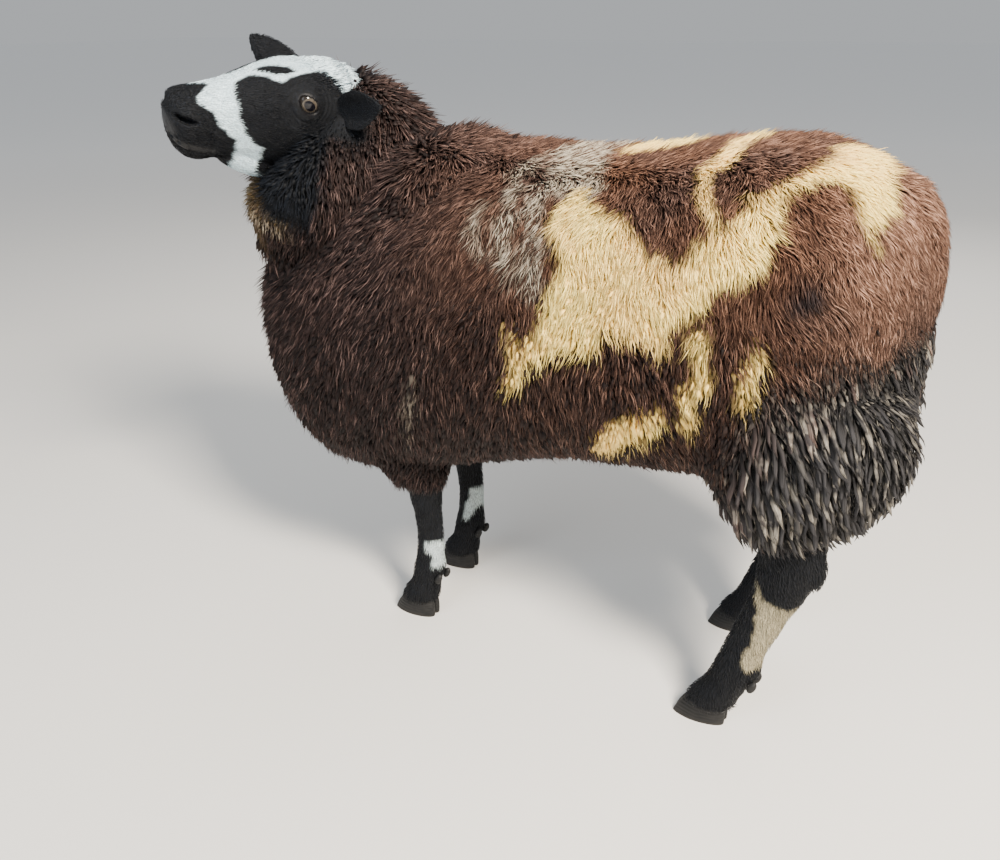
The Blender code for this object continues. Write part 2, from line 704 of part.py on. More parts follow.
def part_fleece(body):
    """Parts the fleeced body into its nodes."""
    keep, clear = -GAP / 2, GAP / 2
    only(body, "neck", [neck_slab((0.0, FAR))], [])
    only(body, "torso_front", [neck_slab((-FAR, 0.0)), slab(x=(SHOULDER_CUT, FAR))],
         [forearm_slab(1, clear), forearm_slab(-1, clear)])
    only(body, "torso_middle", [slab(x=(FLANK_CUT, SHOULDER_CUT))], [])
    only(body, "torso_rear", [slab(x=(-FAR, FLANK_CUT))], [thigh_slab(1, clear), thigh_slab(-1, clear)])
    for word, side in (("left", 1), ("right", -1)):
        only(body, "thigh_" + word, [thigh_slab(side, keep)], [])
        only(body, "forearm_" + word, [forearm_slab(side, keep)], [])
    bpy.data.objects.remove(body)


def build():
    clear_scene()
    wool, dark, horn = material("wool", WOOL, 0.95), material("dark_hair", DARK, 0.7), material("horn", HORN, 0.5)
    amber = material("eye", AMBER, 0.1)

    head, form = make_head(dark), head_form("head_form", dark)
    eyes, ears = [], []
    for word, side in (("left", 1), ("right", -1)):
        eyes.append(eyeball("eye_" + word, side, amber))
        ears.append(ear("ear_" + word, side, dark))
    boolean(head, "DIFFERENCE", [swollen(eye) for eye in eyes])
    for piece in ears:
        boolean(piece, "DIFFERENCE", [swollen(form)])

    legs = []
    for foot, place in FEET.items():
        rows = FORELEG if foot.startswith("fore") else HINDLEG
        leg = loft(foot.replace("_", "leg_"), upright_rings(rows, len(rows), 10, at=place), dark)
        claws = [claw("claw_" + foot + end, place, side, horn) for end, side in (("_left", 1), ("_right", -1))]
        boolean(leg, "DIFFERENCE", [swollen(piece) for piece in claws])
        legs.append(leg)

    body = loft("body", torso_rings(15, 16, CORE), wool)
    forms = [loft("neck_form", neck_rings(7, 14, CORE), wool)]
    for side, hind, fore in ((1, "hind_left", "fore_left"), (-1, "hind_right", "fore_right")):
        shift = FEET[hind][0] - FEET["hind_left"][0]
        forms.append(loft("thigh_form", upright_rings(THIGH, 5, 12, (shift, 0.0), side, CORE), wool))
        forms.append(loft("cuff_form", upright_rings(CUFF, 3, 8, FEET[fore], 1.0, CORE / 2), wool))
    boolean(body, "UNION", forms)
    dress(body, form, wool)
    tail = loft("tail", tail_rings(7, 10), wool)
    boolean(body, "DIFFERENCE", [swollen(piece) for piece in (form, *ears, *legs, tail)])
    bpy.data.objects.remove(form)
    part_fleece(body)
    for piece in bpy.data.objects:
        piece.data.transform(Matrix.Translation((-BODY_MIDDLE[0], -BODY_MIDDLE[1], 0.0)))


build()
bpy.context.view_layer.update()
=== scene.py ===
# %% [markdown]
# A Dutch Spotted ram in full fleece stands with its head high and turned to its left. The measured
# model is there already, with body, neck, head, legs and claws as plain solids. This lesson dresses
# it: one skin, many thousands of fine tufts of wool and hair over it, and eyes and claws.

# %% Load the measured model
import json
import math
import random

import bmesh
import bpy
import numpy as np
from mathutils import Matrix, Vector
from mathutils.bvhtree import BVHTree

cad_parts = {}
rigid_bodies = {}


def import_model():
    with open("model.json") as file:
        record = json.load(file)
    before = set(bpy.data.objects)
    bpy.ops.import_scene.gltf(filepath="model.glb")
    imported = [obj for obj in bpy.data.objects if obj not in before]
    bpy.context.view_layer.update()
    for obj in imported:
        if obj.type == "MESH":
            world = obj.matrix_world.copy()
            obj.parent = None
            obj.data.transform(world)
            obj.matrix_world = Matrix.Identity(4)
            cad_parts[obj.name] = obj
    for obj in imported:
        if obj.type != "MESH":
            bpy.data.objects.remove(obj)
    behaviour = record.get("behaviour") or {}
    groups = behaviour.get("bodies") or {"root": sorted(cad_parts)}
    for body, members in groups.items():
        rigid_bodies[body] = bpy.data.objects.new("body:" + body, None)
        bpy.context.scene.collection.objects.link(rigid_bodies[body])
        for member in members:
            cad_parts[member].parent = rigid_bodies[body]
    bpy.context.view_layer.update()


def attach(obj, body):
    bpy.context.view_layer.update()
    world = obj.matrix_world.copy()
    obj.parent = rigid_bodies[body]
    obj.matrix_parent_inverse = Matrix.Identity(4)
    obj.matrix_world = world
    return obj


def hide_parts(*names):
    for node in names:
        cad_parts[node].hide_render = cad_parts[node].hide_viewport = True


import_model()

# %% [markdown]
# A few helpers come first. One puts a new object into the scene, and the others wire the nodes of
# materials and of the coat's planting, with one short line for each node.

# %% Helpers for objects and nodes
def added(name, data):
    """A new object of the scene with this data."""
    made = bpy.data.objects.new(name, data)
    bpy.context.scene.collection.objects.link(made)
    return made


class Wiring:
    """Adds nodes to a tree and links them, a line for each."""

    def __init__(self, tree):
        self.tree = tree

    def put(self, socket, value):
        if isinstance(value, bpy.types.NodeSocket):
            self.tree.links.new(value, socket)
        else:
            socket.default_value = value

    def fill(self, node, **inputs):
        """Fills a node's inputs: _0 is the first of them, and Base_Color is the one named Base Color."""
        for key, value in inputs.items():
            self.put(node.inputs[int(key[1:]) if key[0] == "_" else key.replace("_", " ")], value)
        return node

    def add(self, kind, settings=None, **inputs):
        node = self.tree.nodes.new(kind)
        for key, value in (settings or {}).items():
            setattr(node, key, value)
        return self.fill(node, **inputs)

    def math(self, operation, a, b=0.0, clamp=False):
        return self.add("ShaderNodeMath", {"operation": operation, "use_clamp": clamp}, _0=a, _1=b).outputs[0]

    def plus(self, a, b):
        return self.math("ADD", a, b)

    def less(self, a, b):
        return self.math("SUBTRACT", a, b)

    def times(self, a, b):
        return self.math("MULTIPLY", a, b)

    def mix(self, share, a, b):
        return self.add("ShaderNodeMix", {"data_type": "RGBA"}, _0=share, _6=a, _7=b).outputs[2]

    def ramp(self, value, low, high):
        """0 below low, 1 above high, and a soft step between."""
        settings = {"interpolation_type": "SMOOTHSTEP"}
        return self.add("ShaderNodeMapRange", settings, Value=value, From_Min=low, From_Max=high).outputs["Result"]

    def place(self):
        return self.add("ShaderNodeTexCoord").outputs["Object"]

    def parts(self, vector):
        return self.add("ShaderNodeSeparateXYZ", Vector=vector).outputs

    def noise(self, place, scale, detail, settings=None, **inputs):
        node = self.add("ShaderNodeTexNoise", settings, Vector=place, Scale=scale, Detail=detail, **inputs)
        return node.outputs["Fac"]

    def bump(self, height, strength, distance):
        return self.add("ShaderNodeBump", Height=height, Strength=strength, Distance=distance).outputs["Normal"]

    def stored(self, name):
        """The outputs that read what is stored on a mesh's points under a name."""
        return self.add("ShaderNodeAttribute", {"attribute_type": "GEOMETRY", "attribute_name": name}).outputs


def new_material(name):
    made = bpy.data.materials.new(name)
    made.use_nodes = True
    return made, Wiring(made.node_tree), made.node_tree.nodes["Principled BSDF"]


# %% [markdown]
# The camera stands at the ram's left, a little behind its rump and above its back, and looks forwards
# and down, as when the photograph was taken. It is placed by its direction and its focal length in
# pixels of a 1000 by 860 picture.

# %% Camera
CAMERA_AT = Vector((-0.647, 1.335, 0.956))
CAMERA_YAW, CAMERA_DOWN, CAMERA_ROLL = -60.8, 21.9, -0.5
FOCAL_PIXELS, PICTURE_WIDTH, SENSOR_WIDTH = 1050, 1000, 36.0


def camera_turn(yaw, down, roll):
    """The turn of a camera that looks along this yaw, tipped down by that many degrees."""
    yaw, down, roll = (math.radians(v) for v in (yaw, down, roll))
    ahead = Vector((math.cos(yaw) * math.cos(down), math.sin(yaw) * math.cos(down), -math.sin(down)))
    right = ahead.cross(Vector((0, 0, 1))).normalized()
    up = right.cross(ahead)
    right, up = right * math.cos(roll) + up * math.sin(roll), up * math.cos(roll) - right * math.sin(roll)
    return Matrix((right, up, -ahead)).transposed().to_4x4()


lens = bpy.data.cameras.new("camera")
lens.sensor_width = SENSOR_WIDTH
lens.lens = FOCAL_PIXELS * SENSOR_WIDTH / PICTURE_WIDTH
camera = added("camera", lens)
camera.matrix_world = Matrix.Translation(CAMERA_AT) @ camera_turn(CAMERA_YAW, CAMERA_DOWN, CAMERA_ROLL)
bpy.context.scene.camera = camera
print("lens", round(lens.lens, 1), "mm")

# %% [markdown]
# Soft studio light: one warm lamp high behind the rump, where the sun came from, a large cooler one at
# the ram's left, a faint one on its far side, and a pale sky that fills the shadows. The floor glows a
# little where it is far off, so that it fades into the sky.

# %% Light and floor
SKY, SKY_STRENGTH = (0.84, 0.87, 0.90, 1.0), 0.56
FLOOR_HALF, FLOOR_TONE, FLOOR_ROUGH = 30.0, (0.74, 0.72, 0.69, 1.0), 0.9
HAZE_FROM, HAZE_TO, HAZE = 0.8, 7.0, (0.10, 0.115, 0.135, 1.0)
NO_GLOW = (0.0, 0.0, 0.0, 1.0)


def lamp(name, at, aim, size, power, colour):
    """A square soft lamp that points from one place at another."""
    made = added(name, bpy.data.lights.new(name, "AREA"))
    made.data.size, made.data.energy, made.data.color = size, power, colour
    made.location = at
    made.rotation_euler = (Vector(aim) - Vector(at)).to_track_quat("-Z", "Y").to_euler()


lamp("key", (-2.1, 1.6, 2.6), (-0.15, 0.0, 0.5), 0.8, 440, (1.0, 0.91, 0.78))
lamp("fill", (0.7, 2.9, 1.9), (0.2, 0.0, 0.6), 2.0, 60, (0.80, 0.90, 1.0))
lamp("far_side", (0.6, -2.8, 2.2), (0.0, 0.0, 0.5), 2.0, 40, (1.0, 0.98, 0.95))

world = bpy.data.worlds.new("studio")
world.use_nodes = True
Wiring(world.node_tree).fill(world.node_tree.nodes["Background"], Color=SKY, Strength=SKY_STRENGTH)
bpy.context.scene.world = world

floor_mesh = bpy.data.meshes.new("floor")
corners = [(x * FLOOR_HALF, y * FLOOR_HALF, 0) for x, y in ((-1, -1), (1, -1), (1, 1), (-1, 1))]
floor_mesh.from_pydata(corners, [], [(0, 1, 2, 3)])
floor = added("floor", floor_mesh)
paper, wiring, shader = new_material("pale_floor")
away = wiring.add("ShaderNodeVectorMath", {"operation": "LENGTH"}, _0=wiring.place()).outputs["Value"]
haze = wiring.add("ShaderNodeMapRange", Value=away, From_Min=HAZE_FROM, From_Max=HAZE_TO).outputs["Result"]
wiring.fill(shader, Base_Color=FLOOR_TONE, Roughness=FLOOR_ROUGH, Emission_Color=wiring.mix(haze, NO_GLOW, HAZE),
            Emission_Strength=1.0)
floor_mesh.materials.append(paper)

# %% [markdown]
# The ram's shape comes from a few tables of sections, like those that the measured solids were made
# from, with the fleece's outline a little nearer to the photograph's. A smooth curve runs through each
# table, so a handful of rows gives any number of sections.

# %% Tables of sections, and a smooth curve through them
BODY_MIDDLE = (0.011, 0.039)     # the tables' origin lies this far from the model's
COAT_DEPTH = 0.027               # how far the skin lies under the tips of the fleece
TORSO = (                        # x, height of back and belly, half width
    (-0.514, 0.606, 0.500, 0.050), (-0.505, 0.690, 0.436, 0.102), (-0.478, 0.754, 0.376, 0.157),
    (-0.424, 0.797, 0.352, 0.207), (-0.340, 0.817, 0.338, 0.232), (-0.240, 0.812, 0.330, 0.242),
    (-0.120, 0.796, 0.322, 0.246), (0.000, 0.790, 0.308, 0.246), (0.120, 0.793, 0.278, 0.241),
    (0.220, 0.794, 0.246, 0.233), (0.310, 0.778, 0.222, 0.222), (0.400, 0.743, 0.226, 0.204),
    (0.472, 0.690, 0.280, 0.172), (0.520, 0.630, 0.366, 0.120), (0.538, 0.566, 0.440, 0.056))
NECK = (                         # x, y, z of the middle, half depth, half width, pitch, yaw
    (0.215, 0.000, 0.550, 0.150, 0.150, 50.0, 0.0), (0.280, 0.004, 0.608, 0.170, 0.158, 52.0, 8.0),
    (0.334, 0.028, 0.655, 0.170, 0.150, 52.0, 22.0), (0.357, 0.068, 0.708, 0.176, 0.142, 49.0, 38.0),
    (0.376, 0.102, 0.750, 0.164, 0.128, 46.0, 48.0), (0.393, 0.124, 0.781, 0.143, 0.110, 44.0, 52.0))
THIGH = (                        # x, y, z of the middle, half depth, half width
    (-0.344, 0.108, 0.520, 0.168, 0.122), (-0.366, 0.120, 0.450, 0.168, 0.113), (-0.374, 0.127, 0.385, 0.138, 0.098),
    (-0.362, 0.130, 0.330, 0.090, 0.076), (-0.368, 0.131, 0.292, 0.056, 0.048))
CUFF = ((0.004, 0.0, 0.380, 0.094, 0.080), (0.000, 0.0, 0.300, 0.076, 0.064), (-0.014, 0.0, 0.238, 0.050, 0.044))
TAIL = (                         # x, z of the middle, half thickness, half width
    (-0.398, 0.762, 0.030, 0.040), (-0.444, 0.748, 0.036, 0.050), (-0.476, 0.706, 0.036, 0.050),
    (-0.490, 0.650, 0.030, 0.040), (-0.494, 0.602, 0.016, 0.020))
FORELEG = (
    (-0.032, 0.0, 0.300, 0.034, 0.030), (-0.028, 0.0, 0.262, 0.029, 0.027), (-0.024, 0.0, 0.238, 0.027, 0.026),
    (-0.027, 0.0, 0.205, 0.022, 0.022), (-0.030, 0.0, 0.160, 0.019, 0.019), (-0.030, 0.0, 0.118, 0.021, 0.020),
    (-0.028, 0.0, 0.092, 0.025, 0.024), (-0.021, 0.0, 0.066, 0.023, 0.024), (-0.012, 0.0, 0.046, 0.028, 0.029),
    (-0.008, 0.0, 0.030, 0.031, 0.030))
HINDLEG = (
    (-0.100, 0.0, 0.345, 0.049, 0.034), (-0.104, 0.0, 0.315, 0.045, 0.032), (-0.106, 0.0, 0.288, 0.042, 0.029),
    (-0.104, 0.0, 0.262, 0.039, 0.026), (-0.094, 0.0, 0.225, 0.033, 0.022), (-0.074, 0.0, 0.178, 0.029, 0.020),
    (-0.056, 0.0, 0.130, 0.028, 0.021), (-0.048, 0.0, 0.098, 0.031, 0.025), (-0.034, 0.0, 0.068, 0.030, 0.026),
    (-0.020, 0.0, 0.046, 0.033, 0.029), (-0.012, 0.0, 0.030, 0.034, 0.031))
FEET = {"fore_left": (0.250, 0.082), "fore_right": (0.274, -0.092),
        "hind_left": (-0.270, 0.130), "hind_right": (-0.238, -0.122)}


def eased(rows, at):
    """The row of a table at this value of its first column, on a smooth curve through the rows."""
    keys = [row[0] for row in rows]
    at = min(max(at, min(keys)), max(keys))
    i = max(k for k in range(len(rows) - 1) if keys[k] <= at or k == 0)
    share = (at - keys[i]) / (keys[i + 1] - keys[i])
    before, here = rows[max(i - 1, 0)], rows[i]
    there, after = rows[i + 1], rows[min(i + 2, len(rows) - 1)]
    found = []
    for p, q, r, s in zip(before, here, there, after):
        slope_in, slope_out = (r - p) / 2, (s - q) / 2
        found.append(q + share * (slope_in + share * (
            3 * (r - q) - 2 * slope_in - slope_out + share * (slope_in + slope_out - 2 * (r - q)))))
    return found


def along(rows, count):
    """That many rows, evenly spaced in number along a table."""
    numbered = [(float(i), *row) for i, row in enumerate(rows)]
    last = len(rows) - 1
    return [eased(numbered, last * i / (count - 1))[1:] for i in range(count)]


def oval(centre, across, up, half_width, half_height, around, power=2.0):
    """A ring of points, squarer as the power grows."""
    ring = []
    for k in range(around):
        c, s = math.cos(2 * math.pi * k / around), math.sin(2 * math.pi * k / around)
        out = (abs(c) ** power + abs(s) ** power) ** (-1 / power)
        ring.append(centre + across * (c * out * half_width) + up * (s * out * half_height))
    return ring


# %% [markdown]
# A loft joins rings of points into a closed tube. Every form of the body, head, legs and claws below
# starts as one of these, because it is easy to follow and never leaks.

# %% Lofts, balls and Booleans
def mesh_object(name, points, faces):
    mesh = bpy.data.meshes.new(name)
    mesh.from_pydata([tuple(p) for p in points], [], faces)
    shape = bmesh.new()
    shape.from_mesh(mesh)
    bmesh.ops.recalc_face_normals(shape, faces=shape.faces)
    shape.to_mesh(mesh)
    shape.free()
    return added(name, mesh)


def loft(name, rings):
    """A closed solid through rings of equal count, with a face at each end."""
    around = len(rings[0])
    points = [point for ring in rings for point in ring]
    faces = [tuple(range(around)), tuple(range(len(points) - around, len(points)))]
    for i in range(len(rings) - 1):
        for k in range(around):
            a, b = i * around + k, i * around + (k + 1) % around
            faces.append((a, b, b + around, a + around))
    return mesh_object(name, points, faces)


def ball(name, place, detail=3):
    """A ball of radius 1, put in place by a matrix."""
    shape = bmesh.new()
    bmesh.ops.create_icosphere(shape, subdivisions=detail, radius=1.0)
    bmesh.ops.transform(shape, matrix=place, verts=shape.verts)
    if place.determinant() < 0:
        bmesh.ops.reverse_faces(shape, faces=shape.faces)
    mesh = bpy.data.meshes.new(name)
    shape.to_mesh(mesh)
    shape.free()
    return added(name, mesh)


def rounded(piece):
    """Shades all of a piece's faces smoothly."""
    for face in piece.data.polygons:
        face.use_smooth = True


def dressed(piece, look):
    """Gives a piece one material."""
    piece.data.materials.clear()
    piece.data.materials.append(look)


def settle(piece):
    """Applies a piece's modifiers."""
    graph = bpy.context.evaluated_depsgraph_get()
    graph.update()
    made = bpy.data.meshes.new_from_object(piece.evaluated_get(graph))
    piece.modifiers.clear()
    piece.data = made


def drop(pieces):
    for piece in pieces:
        bpy.data.objects.remove(piece)


def boolean(piece, operation, others):
    """Joins or cuts with a list of closed pieces, which are then removed."""
    group = bpy.data.collections.new(piece.name + "_with")
    bpy.context.scene.collection.children.link(group)
    for other in others:
        group.objects.link(other)
    work = piece.modifiers.new("work", "BOOLEAN")
    work.operation, work.solver = operation, "MANIFOLD"
    work.operand_type, work.collection = "COLLECTION", group
    settle(piece)
    drop(others)
    bpy.data.collections.remove(group)


def melted(name, pieces, size, passes):
    """Melts closed pieces into one even surface of this mesh size, then relaxes it."""
    points, faces = [], []
    for piece in pieces:
        start = len(points)
        points += [v.co[:] for v in piece.data.vertices]
        faces += [[start + k for k in f.vertices] for f in piece.data.polygons]
    drop(pieces)
    mesh = bpy.data.meshes.new(name)
    mesh.from_pydata(points, [], faces)
    made = added(name, mesh)
    even = made.modifiers.new("even", "REMESH")
    even.mode, even.voxel_size, even.use_smooth_shade = "VOXEL", size, True
    relax = made.modifiers.new("relax", "SMOOTH")
    relax.factor, relax.iterations = 0.5, passes
    settle(made)
    print(name, len(made.data.vertices), "points")
    return made


# %% [markdown]
# The body under the wool is a barrel, a neck that turns to the left, two thighs, a cuff of wool over
# each forearm, a docked tail and a low swell at the withers. They are melted together by a voxel
# remesh, which needs no care about how the lofts cross, and the sharp creases between them are
# relaxed away.

# %% Body
def torso_rings(count, around):
    shorter = 1 + COAT_DEPTH / TORSO[0][0]
    rings = []
    for x, top, bottom, half in along(TORSO, count):
        rings.append(oval(Vector((x * shorter, 0, (top + bottom) / 2)), Vector((0, 1, 0)), Vector((0, 0, 1)),
                          max(half - COAT_DEPTH, 0.01), max((top - bottom) / 2 - COAT_DEPTH, 0.01), around, 2.25))
    return rings


def neck_rings(count, around):
    rings = []
    for x, y, z, deep, half, pitch, yaw in along(NECK, count):
        turn = Matrix.Rotation(math.radians(yaw), 3, "Z") @ Matrix.Rotation(-math.radians(pitch), 3, "Y")
        rings.append(oval(Vector((x, y, z)), turn @ Vector((0, 1, 0)), turn @ Vector((0, 0, 1)),
                          half - COAT_DEPTH, deep - COAT_DEPTH, around))
    return rings


def upright_rings(rows, count, around, at=(0.0, 0.0), side=1.0, inset=0.0):
    """Level rings down a leg: rows of x, y, z, half depth, half width."""
    rings = []
    for x, y, z, deep, half in along(rows, count):
        centre = Vector((at[0] + x, at[1] + side * y, z))
        rings.append(oval(centre, Vector((1, 0, 0)), Vector((0, 1, 0)), deep - inset, half - inset, around))
    return rings


def tail_rings(count, around, inset):
    rows = along(TAIL, count)
    rings = []
    for i, (x, z, thick, half) in enumerate(rows):
        before, after = rows[max(i - 1, 0)], rows[min(i + 1, count - 1)]
        run = Vector((after[0] - before[0], 0.0, after[1] - before[1])).normalized()
        rings.append(oval(Vector((x, 0, z)), Vector((0, 1, 0)), Vector((run.z, 0, -run.x)),
                          max(half - inset, 0.006), max(thick - inset, 0.006), around))
    return rings


BODY_MESH, HEAD_MESH, LEG_MESH = 0.0090, 0.0019, 0.0036
WITHERS_AT, WITHERS_SIZE = (0.190, 0.020, 0.712), (0.110, 0.130, 0.068)
forms = [loft("torso_form", torso_rings(60, 72)), loft("neck_form", neck_rings(30, 48)),
         loft("tail_form", tail_rings(20, 24, 0.024))]
for side, hind, fore in ((1, "hind_left", "fore_left"), (-1, "hind_right", "fore_right")):
    shift = FEET[hind][0] - FEET["hind_left"][0]
    forms.append(loft("thigh_form", upright_rings(THIGH, 24, 36, (shift, 0.0), side, COAT_DEPTH)))
    forms.append(loft("cuff_form", upright_rings(CUFF, 12, 24, FEET[fore], 1.0, COAT_DEPTH / 2)))
forms.append(ball("withers_form", Matrix.Translation(WITHERS_AT) @ Matrix.Diagonal((*WITHERS_SIZE, 1.0)), 4))
body = melted("body", forms, BODY_MESH, 12)

# %% [markdown]
# A sheep's leg below the wool is bone, sinew and skin: a knee or hock, a slim cannon with the tendon
# standing behind it, the round fetlock with its two dewclaws, and the pastern. Balls and a slim rod
# are melted into the leg's loft for these.

# %% Legs
FORE_KNOBS = (                   # x, y, z, and half sizes of knee, tendon, fetlock
    (-0.016, 0.0, 0.222, 0.016, 0.020, 0.028), (-0.046, 0.0, 0.150, 0.008, 0.008, 0.060),
    (-0.036, 0.0, 0.092, 0.017, 0.020, 0.017))
HIND_KNOBS = (
    (-0.140, 0.0, 0.276, 0.012, 0.014, 0.030), (-0.100, 0.0, 0.186, 0.007, 0.008, 0.066),
    (-0.058, 0.0, 0.100, 0.022, 0.023, 0.019), (-0.088, 0.0, 0.256, 0.024, 0.024, 0.024))
HIND_LEAN = -20.0                # degrees that the hind cannon leans, its foot forward

leg_pieces = []
for foot, at in FEET.items():
    fore = foot.startswith("fore")
    leg_pieces.append(loft("leg_form", upright_rings(FORELEG if fore else HINDLEG, 44, 28, at)))
    for x, y, z, *sizes in (FORE_KNOBS if fore else HIND_KNOBS):
        lean = 0.0 if fore or sizes[2] < 0.05 else HIND_LEAN
        place = Matrix.Translation((at[0] + x, at[1] + y, z)) @ Matrix.Rotation(math.radians(lean), 4, "Y")
        leg_pieces.append(ball("knob", place @ Matrix.Diagonal((*sizes, 1.0))))
legs = melted("legs", leg_pieces, LEG_MESH, 4)

# %% [markdown]
# The head is a loft along the face with a gentle relief on it: brow ridge, tear hollow, cheek, nose
# and chin. Lips and lids are joined on and the mouth line, nostrils and eye openings are cut out.
# It is remeshed almost five times finer than the body, since this is where people look.

# %% Head form
HEAD_AT = (0.3735, 0.1560, 0.8580)
HEAD_YAW, HEAD_PITCH, HEAD_ROLL = 61.0, 11.0, -28.0
NOSE_TO_EYES = 0.188
HEAD = (                         # distance behind the nose tip, top, bottom, half widths up, middle, low
    (0.0000, -0.004, -0.014, 0.003, 0.005, 0.003), (0.0015, 0.008, -0.028, 0.012, 0.017, 0.012),
    (0.0055, 0.020, -0.042, 0.020, 0.026, 0.019), (0.0140, 0.029, -0.053, 0.026, 0.033, 0.024),
    (0.0320, 0.034, -0.063, 0.029, 0.037, 0.026), (0.0550, 0.035, -0.073, 0.027, 0.037, 0.026),
    (0.0850, 0.034, -0.090, 0.030, 0.041, 0.028), (0.1150, 0.035, -0.106, 0.038, 0.048, 0.032),
    (0.1450, 0.035, -0.118, 0.046, 0.054, 0.036), (0.1800, 0.030, -0.126, 0.050, 0.056, 0.040),
    (0.2100, 0.024, -0.124, 0.049, 0.055, 0.041), (0.2400, 0.016, -0.112, 0.045, 0.052, 0.040),
    (0.2680, 0.002, -0.092, 0.034, 0.044, 0.036))
RELIEF = (                       # rises and hollows of the face: x, y, z, radius, height
    (0.000, 0.048, 0.018, 0.028, 0.0065), (0.040, 0.048, -0.006, 0.016, -0.0035), (0.010, 0.058, -0.060, 0.034, 0.0050),
    (0.070, 0.046, -0.030, 0.016, 0.0025), (0.168, 0.030, 0.016, 0.014, 0.0040), (0.172, 0.024, -0.012, 0.015, 0.0030),
    (0.162, 0.010, -0.060, 0.020, 0.0040), (0.130, 0.036, -0.045, 0.018, 0.0020))
HEAD_TURN = (Matrix.Translation(HEAD_AT) @ Matrix.Rotation(math.radians(HEAD_YAW), 4, "Z")
             @ Matrix.Rotation(math.radians(HEAD_PITCH), 4, "Y") @ Matrix.Rotation(math.radians(HEAD_ROLL), 4, "X"))


def head_point(behind, angle):
    """A point of the head's surface, in the head's own frame, this far behind the nose tip."""
    _, top, bottom, upper, middle, lower = eased(HEAD, behind)
    c, s = math.cos(angle), math.sin(angle)
    across = s * (middle + (upper - lower) * c + (math.sqrt(2) * (upper + lower) - 2 * middle) * c * c)
    point = Vector((NOSE_TO_EYES - behind, across, (top + bottom) / 2 + c * (top - bottom) / 2))
    out = Vector((0.0, s, c * 0.7)).normalized()
    for x, y, z, radius, height in RELIEF:
        for side in (y, -y):
            away = (point - Vector((x, side, z))).length / radius
            point = point + out * (height * math.exp(-away * away))
    return point


def surface_at(behind, height):
    """The point on the head's left side this far behind the nose tip and at this height."""
    _, top, bottom, *_ = eased(HEAD, behind)
    share = (height - (top + bottom) / 2) / ((top - bottom) / 2)
    return head_point(behind, math.acos(min(max(share, -1.0), 1.0)))


HEAD_STATIONS, HEAD_AROUND = 70, 88
nose_step = HEAD[-1][0] / (HEAD_STATIONS - 1) ** 1.5
stations = [nose_step * k ** 1.5 for k in range(HEAD_STATIONS)]
head = loft("head_form", [[HEAD_TURN @ head_point(behind, 2 * math.pi * k / HEAD_AROUND) for k in range(HEAD_AROUND)]
                          for behind in stations])
print("head", len(head.data.vertices), "points")

# %% [markdown]
# Each eye has its own small frame: X runs to the back corner of the opening and Z looks out. The lids
# are a swelling round the eyeball with an almond cut through it. Nostrils are slanting hollows, and
# the mouth is a thin blade cut into a roll of lip.

# %% Lids, nostrils, lips and mouth
EYE_RADIUS = 0.0160
EYE_AT, EYE_OUT, EYE_SLANT = (0.000, 0.0435, 0.000), (0.26, 1.0, 0.12), 52.0
LID, LID_REACH, LID_SUNK = 0.0036, 1.30, 0.0018
EYE_OPENING = (0.0178, 0.0104)
NOSTRIL, NOSTRIL_SIZE, NOSTRIL_OUT = ((0.006, 0.015), (0.029, 0.006)), (1.20, 0.0060, 0.0105), (0.5, 1.0, 0.35)
MOUTH_BACK, MOUTH_FRONT, MOUTH_CORNER = 0.046, -0.016, -0.045


def eye_frame(side):
    out = Vector((EYE_OUT[0], side * EYE_OUT[1], EYE_OUT[2])).normalized()
    slant = math.radians(EYE_SLANT)
    back = Vector((-math.cos(slant), 0.0, -math.sin(slant)))
    back = (back - out * back.dot(out)).normalized()
    turn = Matrix((back, out.cross(back), out)).transposed().to_4x4()
    return HEAD_TURN @ Matrix.Translation((EYE_AT[0], side * EYE_AT[1], EYE_AT[2])) @ turn


def eye_opening(side):
    length, height = EYE_OPENING
    rings = []
    for depth, grow in ((0.004, 0.80), (EYE_RADIUS + 2 * LID, 1.16)):
        ring = []
        for k in range(40):
            c, s = math.cos(2 * math.pi * k / 40), math.sin(2 * math.pi * k / 40)
            ring.append(eye_frame(side) @ Vector((c * length * grow, s * height * grow * (1 - 0.22 * c * c), depth)))
        rings.append(ring)
    return loft("eye_opening", rings)


def lids(side):
    low = Matrix.Translation((0.0, 0.0, -LID_SUNK))
    radius = EYE_RADIUS + LID
    return ball("lids", eye_frame(side) @ low @ Matrix.Diagonal((LID_REACH * radius, radius, radius, 1.0)), 4)


def nostril(side):
    front, back = (surface_at(*end) for end in NOSTRIL)
    run = (back - front).normalized()
    out = Vector(NOSTRIL_OUT)
    out = (out - run * out.dot(run)).normalized()
    turn = Matrix((run, out.cross(run), out)).transposed().to_4x4()
    long, high, deep = NOSTRIL_SIZE
    size = Matrix.Diagonal(((back - front).length / 2 * long, high, deep, 1.0))
    this_side = HEAD_TURN @ Matrix.Diagonal((1.0, side, 1.0, 1.0))
    return ball("nostril", this_side @ Matrix.Translation((front + back) / 2) @ turn @ size, 4)


def mouth_path(count):
    """Points of the lips' line from the right corner round the front to the left, with the way out."""
    path = []
    for k in range(count):
        share = 2 * k / (count - 1) - 1
        point = surface_at(MOUTH_BACK * share ** 2, MOUTH_FRONT + (MOUTH_CORNER - MOUTH_FRONT) * abs(share) ** 1.4)
        point.y *= (share > 0) - (share < 0)
        path.append((point, Vector((1.0 - abs(share), point.y * 40, 0.0)).normalized()))
    return path


